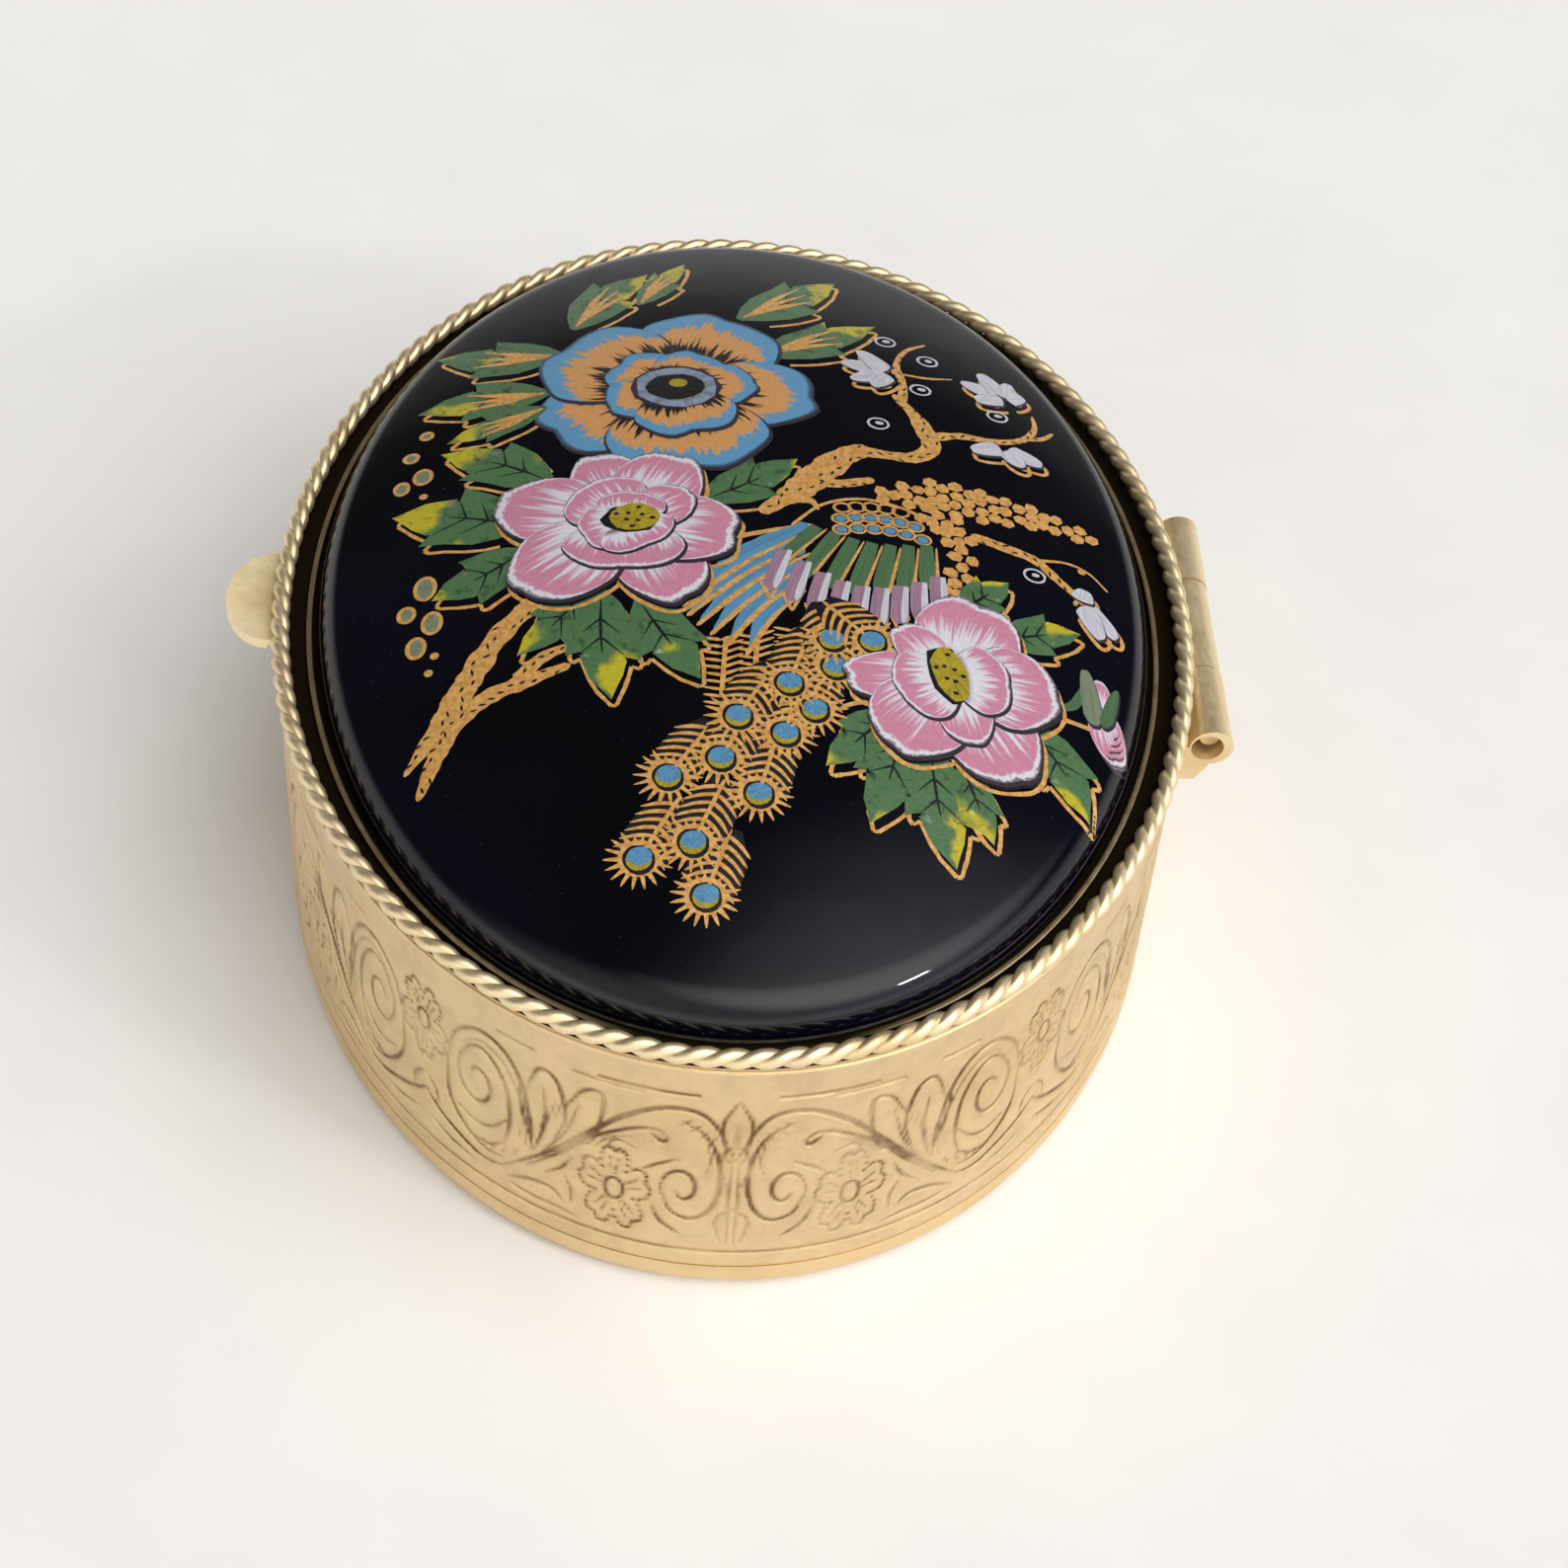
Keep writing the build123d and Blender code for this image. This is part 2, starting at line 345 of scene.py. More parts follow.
def mesh_piece(name, points, faces, body, material, replaces=(), attributes=None, smooth=True):
    """A mesh object from points in millimetres, riding on a body."""
    mesh = bpy.data.meshes.new(name)
    mesh.from_pydata((np.asarray(points) * MM).tolist(), [], faces)
    mesh.polygons.foreach_set("use_smooth", [smooth] * len(mesh.polygons))
    for key, values in (attributes or {}).items():
        layer = mesh.attributes.new(key, "FLOAT", "POINT")
        layer.data.foreach_set("value", np.asarray(values, dtype=np.float32).ravel())
    mesh.materials.append(material)
    mesh.validate()
    piece = bpy.data.objects.new(name, mesh)
    bpy.context.scene.collection.objects.link(piece)
    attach(piece, body)
    if replaces:
        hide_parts(*replaces)
    return piece


def grid_faces(columns, rows, wrap_columns=False, wrap_rows=False):
    """Quads of a grid whose point (c, r) has index c * rows + r."""
    faces = []
    for c in range(columns if wrap_columns else columns - 1):
        here, there = c * rows, (c + 1) % columns * rows
        for r in range(rows if wrap_rows else rows - 1):
            up = (r + 1) % rows
            faces.append((here + r, there + r, there + up, here + up))
    return faces


def turned(x, y, degrees):
    """Plan points (x, y) turned about the origin."""
    c, s = math.cos(math.radians(degrees)), math.sin(math.radians(degrees))
    return np.stack([x * c - y * s, x * s + y * c], -1)


def unit_vector(degrees):
    return np.array([math.cos(math.radians(degrees)), math.sin(math.radians(degrees))])


def across(direction):
    """The direction in plan, or each of them, turned a quarter to the left."""
    return np.stack([-direction[..., 1], direction[..., 0]], -1)


def box_mm(node):
    """The lowest and highest corners of a CAD node, in millimetres."""
    low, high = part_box(node)
    return np.array(low) / MM, np.array(high) / MM


def rounded_profile(inner, outer, low, high, radius, steps=4):
    """A closed rectangle with rounded corners, as (distance outward, height) points."""
    corners = [(outer, low, -90), (outer, high, 0), (inner, high, 90), (inner, low, 180)]
    points = []
    for x, z, start in corners:
        cx = x - radius if x == outer else x + radius
        cz = z + radius if z == low else z - radius
        for k in range(steps + 1):
            angle = math.radians(start + 90 * k / steps)
            points.append((cx + radius * math.cos(angle), cz + radius * math.sin(angle)))
    return points


class Oval:
    """An ellipse in plan, with columns evenly spaced along it, starting at the front."""

    def __init__(self, half_width, half_length, columns):
        fine = np.linspace(-math.pi / 2, 1.5 * math.pi, 20001)
        x, y = half_width * np.cos(fine), half_length * np.sin(fine)
        run = np.concatenate([[0], np.cumsum(np.hypot(np.diff(x), np.diff(y)))])
        self.length = run[-1]
        self.along = np.arange(columns) * self.length / columns
        self.angle = np.interp(self.along, run, fine)
        self.half_width, self.half_length = half_width, half_length
        self.columns = columns

    def points(self, outward):
        """Plan points of the ellipse whose half axes are longer by outward."""
        x, y = self.half_width + outward, self.half_length + outward
        return np.stack([x * np.cos(self.angle), y * np.sin(self.angle)], -1)

    def ring(self, outward, height, share=1.0):
        """The same points, scaled by share and set at a height."""
        plan = np.array([self.half_width + outward, self.half_length + outward]) * share
        x, y = plan[0] * np.cos(self.angle), plan[1] * np.sin(self.angle)
        return np.stack([x, y, np.full(self.columns, height)], -1)

    def normals(self):
        x = np.cos(self.angle) / self.half_width
        y = np.sin(self.angle) / self.half_length
        length = np.hypot(x, y)
        return np.stack([x / length, y / length], -1)


def oval_band(oval, profile):
    """Points and faces of a ring whose section is profile, (outward, height) points."""
    points = np.stack([oval.ring(*at) for at in profile], 1)
    return points.reshape(-1, 3), grid_faces(oval.columns, len(profile), True, True)


# ---------------------------------------------------------------- engraved band

BAND_UNITS = 5  # repeats round the box
HALF_UNIT = 14.27  # width that half a repeat is drawn with, before it is fitted to the box
BORDER_LOW = 2.5
BORDER_HIGH = 12.7
# Broken border lines: height, half width, and the shares of a repeat where they start and end
BROKEN_LINES = ((12.55, 0.07, 0.05, 0.2), (12.3, 0.05, 0.13, 0.24), (12.5, 0.06, 0.29, 0.36))
CUT_DEPTH = 0.07
CUT_REACH = 0.9  # distances from a cut are kept up to here
BAND_COLUMNS = 1020
BAND_ROW = 0.14
WALL_THICKNESS = 0.6
SEAT_RADIUS = 1.07
SEAT_SIDES = 48
SEAT_CLEARANCE = 0.12
SLOT_DEPTH = 0.54


def smooth_line(points, spacing=0.07):
    """Catmull-Rom curve through the points, sampled about every spacing."""
    p = np.array(points, dtype=float)
    p = np.vstack([2 * p[0] - p[1], p, 2 * p[-1] - p[-2]])
    out = []
    for k in range(1, len(p) - 2):
        steps = max(2, int(np.linalg.norm(p[k + 1] - p[k]) / spacing))
        t = np.arange(steps)[:, None] / steps
        a, b, c, d = p[k - 1], p[k], p[k + 1], p[k + 2]
        square, cube = 2 * a - 5 * b + 4 * c - d, 3 * b - a - 3 * c + d
        out.append(0.5 * (2 * b + (c - a) * t + square * t**2 + cube * t**3))
    out.append(p[-2][None])
    return np.vstack(out)


def tapered(line, width):
    """Half-widths along a cut that swells in its middle and fades at its ends."""
    t = np.linspace(0, 1, len(line))
    return width * (0.3 + 0.7 * np.sin(math.pi * t) ** 0.7)


def stretched(centre, radius, angle, stretch):
    """Points round a centre, drawn taller by stretch."""
    x, y = centre
    return np.stack([x + radius * np.cos(angle), y + stretch * radius * np.sin(angle)], -1)


def spiral(centre, start, end, first, turns, stretch):
    """A scroll about centre whose radius falls from start to end."""
    t = np.linspace(0, 1, int(90 * abs(turns)) + 8)
    angle = math.radians(first) + 2 * math.pi * turns * t
    radius = start * (end / start) ** t
    return stretched(centre, radius, angle, stretch)


def blossom_cuts(centre, radius, stretch, petals=5, turn=90):
    """Outline cuts of a small flower: notched petals round an eye."""
    cuts = []
    for k in range(petals):
        middle = math.radians(turn + 360 * k / petals)
        t = np.linspace(-1, 1, 15)
        angle = middle + t * math.pi / petals * 0.98
        reach = radius * (1.0 - 0.45 * np.abs(t) ** 3 - 0.12 * np.exp(-((t / 0.18) ** 2)))
        cuts.append((stretched(centre, reach, angle, stretch), np.full(15, 0.1)))
        for lean in (-0.16, 0.16):
            ray = radius * np.linspace(0.38, 0.72, 6)
            cuts.append((stretched(centre, ray, middle + lean, stretch), np.full(6, 0.06)))
    eye = spiral(centre, 0.25 * radius, 0.25 * radius, 0, 1, stretch)
    cuts.append((eye, np.full(len(eye), 0.09)))
    return cuts


def half_unit_cuts():
    """The cuts of half a repeat, from the palm leaf at 0 to the mirror line at its far end."""
    cuts = []

    def cut(points, width=0.11):
        line = smooth_line(points)
        cuts.append((line, tapered(line, width)))

    # Lance leaf on the axis, and its stem
    cut([(0, 8.6), (0.5, 9.9), (0.55, 11.0), (0.0, 12.3)], 0.1)
    cut([(0.14, 3.0), (0.2, 6.0), (0.08, 8.8)], 0.08)
    cut([(0.08, 8.8), (0.05, 11.0)], 0.06)
    cut([(0.0, 5.4), (0.6, 4.8), (0.6, 3.9), (0.35, 3.1)], 0.08)
    cut([(0.15, 6.6), (0.55, 8.0), (0.45, 9.4)], 0.07)
    # Arched stem from the large scroll over to the leaf, with a second line under it
    arch = [(10.0, 4.0), (7.9, 6.3), (6.1, 8.6), (4.6, 10.4), (3.0, 11.5), (1.6, 11.5), (0.7, 10.4)]
    cut([*arch, (0.3, 8.4)], 0.14)
    cut([(8.8, 4.9), (7.2, 6.8), (5.9, 8.5), (4.4, 9.7), (3.3, 10.1), (2.7, 9.7)], 0.12)
    cut([(3.4, 9.8), (2.9, 9.4), (2.7, 9.7)], 0.12)
    # Scroll that hangs from the arch
    hook = [(2.2, 10.9), (1.1, 9.9), (0.6, 8.1), (0.6, 6.4), (1.0, 5.1), (1.7, 4.6), (2.5, 5.0)]
    cut([*hook, (2.9, 6.2)], 0.12)
    scroll = spiral((2.05, 6.5), 0.95, 0.3, -20, 1.0, 1.7)
    cuts.append((scroll, tapered(scroll, 0.11)))
    cut([(1.3, 10.3), (1.0, 8.6), (1.2, 7.4)], 0.06)
    cut([(3.7, 7.4), (3.1, 7.9), (2.3, 8.4)], 0.09)
    cut([(3.3, 5.2), (2.9, 4.2), (2.1, 3.5)], 0.1)
    # Blossom under the arch
    cuts.extend(blossom_cuts((4.85, 5.7), 1.55, 1.75))
    cut([(4.0, 8.6), (4.7, 8.9), (5.1, 8.5), (4.6, 8.1)], 0.07)
    # Acanthus lobes on the arch
    cut([(7.0, 7.6), (5.8, 8.4), (5.4, 11.2), (6.2, 11.3), (7.0, 9.8)])
    cut([(7.5, 7.4), (7.0, 9.2), (7.4, 11.2), (8.2, 11.5), (8.8, 9.9)])
    cut([(8.5, 6.6), (9.0, 8.6), (9.1, 10.4)])
    cut([(8.1, 6.2), (7.0, 8.2), (6.4, 10.4)], 0.08)
    cut([(8.4, 6.2), (7.9, 8.4), (8.0, 10.4)], 0.1)
    cut([(8.6, 5.9), (8.5, 7.6), (8.7, 8.8)], 0.08)
    # Large scroll
    outer = (8.8, 6.2), (8.7, 8.3), (9.1, 10.3), (10.0, 11.6), (11.2, 11.8), (12.4, 10.7), (12.9, 8.7)
    inner = (10.0, 5.3), (9.6, 7.0), (9.7, 8.9), (10.2, 10.2), (10.9, 10.8), (11.6, 10.5), (12.1, 9.5)
    cut(outer, 0.12)
    cut(inner, 0.11)
    scroll = spiral((11.2, 8.6), 1.25, 0.4, 60, -1.1, 1.6)
    cuts.append((scroll, tapered(scroll, 0.11)))
    cut([(14.4, 5.6), (13.4, 4.8), (12.2, 4.2), (11.0, 3.8), (10.0, 4.0)], 0.13)
    cut([(12.9, 8.7), (12.8, 6.6), (12.0, 5.2), (10.9, 4.5), (9.9, 4.6)], 0.12)
    cut([(12.3, 6.3), (11.4, 5.9), (10.5, 6.2), (9.7, 7.2)], 0.09)
    cut([(11.6, 4.9), (10.7, 4.9), (9.9, 5.6)], 0.08)
    # Half blossom on the mirror line
    cuts.extend(blossom_cuts((HALF_UNIT, 9.9), 1.4, 1.7, turn=270))
    cut([(14.2, 6.6), (13.6, 5.9), (13.5, 5.0)], 0.08)
    # Fine shading lines inside the lobes and scrolls
    for k in range(4):
        cut([(8.2 - 0.35 * k, 7.6 + 0.5 * k), (7.75 - 0.3 * k, 9.6 + 0.25 * k)], 0.05)
        cut([(9.5 + 0.5 * k, 5.0 - 0.15 * k), (9.2 + 0.55 * k, 5.7 - 0.2 * k)], 0.05)
        cut([(0.75 + 0.35 * k, 10.1 + 0.3 * k), (1.1 + 0.4 * k, 9.5 + 0.35 * k)], 0.045)
    cut([(5.8, 7.9), (5.1, 8.9), (4.2, 9.3)], 0.06)
    cut([(9.1, 6.6), (9.0, 8.3), (9.4, 9.9), (10.1, 10.9), (11.1, 11.2), (12.0, 10.4)], 0.06)
    # Leaves along the foot
    cut([(9.7, 3.5), (8.6, 4.1), (7.6, 4.2), (7.1, 3.7)], 0.11)
    cut([(9.6, 3.2), (8.4, 3.1), (7.3, 3.1), (6.4, 2.9)], 0.09)
    cut([(7.9, 5.0), (7.1, 5.9), (6.7, 6.8)], 0.09)
    cut([(7.0, 5.4), (6.7, 4.6), (6.7, 3.8)], 0.07)
    cut([(13.9, 3.9), (12.8, 3.5), (11.6, 3.3)], 0.09)
    return cuts


def stamp_cuts(along, heights, length):
    """Distance in millimetres from every grid point to the nearest cut's edge, up to CUT_REACH."""
    field = np.full((len(along), len(heights)), CUT_REACH)
    step_u, step_v = along[1] - along[0], heights[1] - heights[0]
    reach_u, reach_v = int(CUT_REACH / step_u) + 1, int(CUT_REACH / step_v) + 1
    unit = length / BAND_UNITS
    scale = unit / 2 / HALF_UNIT
    offsets_u = np.arange(-reach_u, reach_u + 1)
    offsets_v = np.arange(-reach_v, reach_v + 1)

    def stamp(u, v, half_width):
        column, row = int(round(u / step_u)), int(round((v - heights[0]) / step_v))
        columns = (column + offsets_u) % len(along)
        rows = row + offsets_v
        rows = rows[(rows >= 0) & (rows < len(heights))]
        across = (column + offsets_u) * step_u - u
        up = heights[rows] - v
        near = np.hypot(across[:, None], up[None]) - half_width
        window = np.ix_(columns, rows)
        field[window] = np.minimum(field[window], near)

    for line, widths in half_unit_cuts():
        for (u, v), half_width in zip(line, widths):
            if not BORDER_LOW < v < BORDER_HIGH or u > HALF_UNIT + 0.13:
                continue
            for k in range(BAND_UNITS):
                for side in (-1, 1):
                    stamp(k * unit + side * u * scale, v, half_width)
    # Border lines: one low, and broken ones high
    field = np.minimum(field, np.abs(heights - BORDER_LOW) - 0.07)
    phase = np.abs((along / unit + 0.5) % 1 - 0.5)
    for height, width, first, last in BROKEN_LINES:
        dashed = (phase > first) & (phase < last)
        field[dashed] = np.minimum(field[dashed], np.abs(heights - height) - width)
    return field


def make_band():
    """The wall, with the pattern cut into its outer face."""
    low, high = box_mm("base_wall")
    inner = -WALL_THICKNESS
    oval = Oval(high[0], high[1], BAND_COLUMNS)
    fine = np.arange(low[2] + 0.12, high[2] - 0.1, BAND_ROW)
    cut = stamp_cuts(oval.along, fine, oval.length)
    depth = CUT_DEPTH * np.clip(1 - (cut + 0.02) / 0.2, 0, 1) ** 1.5
    rest = [
        (-0.03, high[2] - 0.03),
        (-0.1, high[2]),
        (inner + 0.1, high[2]),
        (inner, high[2] - 0.08),
        (inner, low[2] + 6),
        (inner, low[2]),
        (-0.1, low[2]),
        (-0.03, low[2] + 0.03),
    ]
    rows = len(fine) + len(rest)
    points = np.zeros((oval.columns, rows, 3))
    normals = oval.normals()
    for k, height in enumerate(fine):
        points[:, k, :2] = oval.points(0) - normals * depth[:, k : k + 1]
        points[:, k, 2] = height
    for k, (outward, height) in enumerate(rest, start=len(fine)):
        points[:, k] = oval.ring(outward, height)
    attribute = np.full((oval.columns, rows), CUT_REACH)
    attribute[:, : len(fine)] = cut
    band = mesh_piece(
        "engraved_band",
        points.reshape(-1, 3),
        grid_faces(oval.columns, rows, True, True),
        "base",
        engraved_material(),
        ["base_wall"],
        {"cut": attribute},
    )
    cut_hinge_seat(band)


def cut_hinge_seat(band):
    """Takes the seat of the hinge tubes and the slot of the lid's leaf out of the visual band."""
    pin_low, pin_high = box_mm("hinge_pin")
    joint = (pin_low + pin_high) / 2
    half = box_mm("hinge_knuckle_far")[1][1] + SEAT_CLEARANCE
    t = np.linspace(0, 2 * math.pi, SEAT_SIDES, endpoint=False)
    ring = [(joint[0] + SEAT_RADIUS * math.cos(a), 0, joint[2] + SEAT_RADIUS * math.sin(a)) for a in t]
    seat = np.vstack([np.array(ring) + [0, y, 0] for y in (-half, half)])
    ends = [tuple(range(SEAT_SIDES))[::-1], tuple(range(SEAT_SIDES, 2 * SEAT_SIDES))]
    seat_faces = ends + [
        (k, (k + 1) % SEAT_SIDES, SEAT_SIDES + (k + 1) % SEAT_SIDES, SEAT_SIDES + k)
        for k in range(SEAT_SIDES)
    ]
    leaf_low, leaf_high = box_mm("lid_knuckle")
    y1 = leaf_high[1] + 0.1
    z0 = box_mm("base_wall")[1][2] - SLOT_DEPTH
    slot = [(x, y, z) for x in (leaf_low[0] - 0.4, joint[0]) for y in (-y1, y1) for z in (z0, z0 + 2)]
    slot_faces = [(0, 1, 3, 2), (4, 6, 7, 5), (0, 4, 5, 1), (2, 3, 7, 6), (0, 2, 6, 4), (1, 5, 7, 3)]
    cutters = []
    for name, points, faces in (("seat", seat, seat_faces), ("slot", slot, slot_faces)):
        mesh = bpy.data.meshes.new(name)
        mesh.from_pydata((np.array(points) * MM).tolist(), [], faces)
        cutters.append(bpy.data.objects.new(name, mesh))
        bpy.context.scene.collection.objects.link(cutters[-1])
        modifier = band.modifiers.new(name, "BOOLEAN")
        modifier.operation = "DIFFERENCE"
        modifier.object = cutters[-1]
        modifier.solver = "EXACT"
    bpy.context.view_layer.update()
    graph = bpy.context.evaluated_depsgraph_get()
    result = bpy.data.meshes.new_from_object(band.evaluated_get(graph), depsgraph=graph)
    result.set_sharp_from_angle(angle=math.radians(60))  # the cut edges, not the engraving
    band.modifiers.clear()
    band.data = result
    for cutter in cutters:
        bpy.data.objects.remove(cutter)


# ---------------------------------------------------------------- rope rim

ROPE_TURNS = 62
ROPE_STEPS = 22  # along one turn
ROPE_SIDES = 14
STRAND_SHARE = 0.66  # a strand's radius as a share of the rope's


def make_rope(material):
    """Two round wires twisted together and bent round the lid."""
    low, high = box_mm("rope_rim")
    rope = (high[2] - low[2]) / 2
    strand = rope * STRAND_SHARE
    helix = rope - strand
    oval = Oval(high[0] - rope, high[1] - rope, ROPE_TURNS * ROPE_STEPS)
    middle = oval.ring(0, (low[2] + high[2]) / 2)
    flat = np.pad(oval.normals(), ((0, 0), (0, 1)))
    tangent = np.stack([-flat[:, 1], flat[:, 0], flat[:, 2]], -1)
    up = np.array([0, 0, 1.0])
    around = np.linspace(0, 2 * math.pi, ROPE_SIDES, endpoint=False)
    section = strand * np.stack([np.cos(around), np.sin(around)])[:, None, :, None]
    slope = 2 * math.pi * ROPE_TURNS * helix / oval.length
    # The side of a strand that faces the other one is darkened with painted shade
    valley = np.clip((-0.15 - np.cos(around)) / 0.55, 0, 1) * 0.9
    for index, start in enumerate((0, math.pi)):
        twist = start + 2 * math.pi * ROPE_TURNS * np.arange(oval.columns)[:, None] / oval.columns
        radial = flat * np.cos(twist) + up * np.sin(twist)
        side = -flat * np.sin(twist) + up * np.cos(twist) - tangent * slope
        side /= np.linalg.norm(side, axis=1)[:, None]
        centre = middle + radial * helix
        points = centre[:, None] + section[0] * radial[:, None] + section[1] * side[:, None]
        mesh_piece(
            f"rope_strand_{index + 1}",
            points.reshape(-1, 3),
            grid_faces(oval.columns, ROPE_SIDES, True, True),
            "lid",
            material,
            ["rope_rim"],
            {"valley": np.tile(valley, oval.columns)},
        )


# ---------------------------------------------------------------- lid metal and dome


RING_COLUMNS = 300
DISC_COLUMNS = 240
DISC_EDGE = 0.12


def make_ring(name, node, thickness, material, radius, dark=False):
    """A plain band with rounded edges, in place of a CAD ring of the lid."""
    low, high = box_mm(node)
    oval = Oval(high[0], high[1], RING_COLUMNS)
    profile = rounded_profile(-thickness, 0, low[2], high[2], radius)
    points, faces = oval_band(oval, profile)
    # Painted shade on the bezel, where dark is set
    groove_shade = np.full((RING_COLUMNS, len(profile)), float(dark))
    if dark:
        # Painted shade darkens the groove round the dome; only the ring's upper edge at the sides is
        # left bright
        upper = np.array([height > high[2] - radius for _, height in profile])
        groove_shade[:, upper] -= np.clip((np.abs(oval.normals()[:, :1]) - 0.3) / 0.35, 0, 1) * 0.8
    mesh_piece(name, points, faces, "lid", material, [node], {"groove_shade": groove_shade})


def capped(points, count, columns, low_tip, high_tip, flip=False):
    """Points and faces of a closed shape: a grid of count rows round the z axis, and its two tips."""
    faces = grid_faces(columns, count, True, False)
    tip = columns * count
    for c in range(columns):
        there = (c + 1) % columns
        faces.append((tip, there * count, c * count))
        faces.append((tip + 1, c * count + count - 1, there * count + count - 1))
    if flip:
        faces = [face[::-1] for face in faces]
    return np.vstack([points.reshape(-1, 3), low_tip, high_tip]), faces


def make_disc(name, node, material):
    """A thin oval plate with a rounded edge, whose upper side is darkened with painted shade."""
    low, high = box_mm(node)
    oval = Oval(high[0], high[1], DISC_COLUMNS)
    middle, half = (low[2] + high[2]) / 2, (high[2] - low[2]) / 2
    shares = np.linspace(0.1, 1, 10)
    rows = [oval.ring(-DISC_EDGE, low[2], share) for share in shares]
    for angle in np.radians(np.linspace(-80, 80, 7)):
        rows.append(oval.ring(DISC_EDGE * (math.cos(angle) - 1), middle + half * math.sin(angle)))
    rows += [oval.ring(-DISC_EDGE, high[2], share) for share in shares[::-1]]
    tips = [0, 0, low[2]], [0, 0, high[2]]
    points, faces = capped(np.stack(rows, 1), len(rows), DISC_COLUMNS, *tips)
    # Painted shade on the plate's upper side, in the groove round the dome
    groove_shade = points[:, 2] > middle
    mesh_piece(name, points, faces, "lid", material, [node], {"groove_shade": groove_shade})


class Dome:
    """The porcelain dome: an upright edge, a round shoulder and a shallow crown."""

    SHOULDER = 1.7
    EDGE = 0.05
    INSET = 0.16  # the drawn glaze lies this far under the CAD crown, and leaves room for the transfer

    def __init__(self):
        low, high = box_mm("cabochon")
        self.low = low[2]
        self.half_width, self.half_length = high[0], high[1]
        self.start = low[2] + self.EDGE
        rise = high[2] - self.INSET - self.start
        self.shoulder = self.half_length - self.SHOULDER
        self.radius = (self.shoulder**2 + rise**2 - self.SHOULDER**2) / (2 * (rise - self.SHOULDER))
        self.centre = self.start + rise - self.radius
        self.blend = self.shoulder * self.radius / (self.radius - self.SHOULDER)

    def reach(self, x, y):
        """Distance from the axis, measured along the oval's long half."""
        return np.hypot(np.asarray(x) * self.half_length / self.half_width, y)

    def height(self, x, y):
        q = self.reach(x, y)
        crown = self.centre + np.sqrt(np.maximum(self.radius**2 - q**2, 0))
        drop = np.clip(q - self.shoulder, 0, self.SHOULDER)
        shoulder = self.start + np.sqrt(self.SHOULDER**2 - drop**2)
        return np.where(q < self.blend, crown, shoulder)


DOME_COLUMNS = 256


def make_dome(dome):
    """The glazed dome as a dense smooth cap, closed underneath."""
    rows = [(q, float(dome.height(0, q))) for q in np.linspace(0.4, dome.blend, 44)]
    first = math.atan2(dome.height(0, dome.blend) - dome.start, dome.blend - dome.shoulder)
    for angle in np.linspace(first, 0, 20)[1:]:
        q = dome.shoulder + dome.SHOULDER * math.cos(angle)
        rows.append((q, dome.start + dome.SHOULDER * math.sin(angle)))
    rows += [(dome.half_length - 0.04, dome.low), (dome.half_length * 0.5, dome.low)]
    squeeze = dome.half_width / dome.half_length
    t = np.linspace(0, 2 * math.pi, DOME_COLUMNS, endpoint=False)
    grid = np.array([[(q * math.cos(a) * squeeze, q * math.sin(a), z) for q, z in rows] for a in t])
    tips = [0, 0, float(dome.height(0, 0))], [0, 0, dome.low]
    points, faces = capped(grid, len(rows), DOME_COLUMNS, *tips, flip=True)
    mesh_piece("dome_glazed", points, faces, "lid", porcelain_material(), ["cabochon"])


# ---------------------------------------------------------------- decoration on the dome

PRINT_SHIFT = np.array([0.15, -0.5])  # the gilt lines are printed a little down and right of the colours
GILT_LINE = 0.2
GILT_LIFT = 0.009
COLOUR_LIFT = 0.016
LAYER = 0.0022
SCALE_PITCH = 0.68
SCALE_SIZE = 0.33

# Colours picked by the tone attribute of the plain paint
TONES = {
    "green": (0.075, 0.16, 0.07),
    "blue": (0.10, 0.28, 0.47),
    "lilac": (0.34, 0.20, 0.29),
    "white": (0.60, 0.60, 0.68),
    "mustard": (0.40, 0.31, 0.02),
    "sage": (0.20, 0.24, 0.16),
    "plum": (0.035, 0.024, 0.036),
    "black": (0.006, 0.006, 0.008),
    "lavender": (0.24, 0.30, 0.42),
}
TONE_NAMES = list(TONES)


def tone(name):
    """The tone attribute that stands for a colour's name."""
    return (TONE_NAMES.index(name) + 0.5) / len(TONE_NAMES)


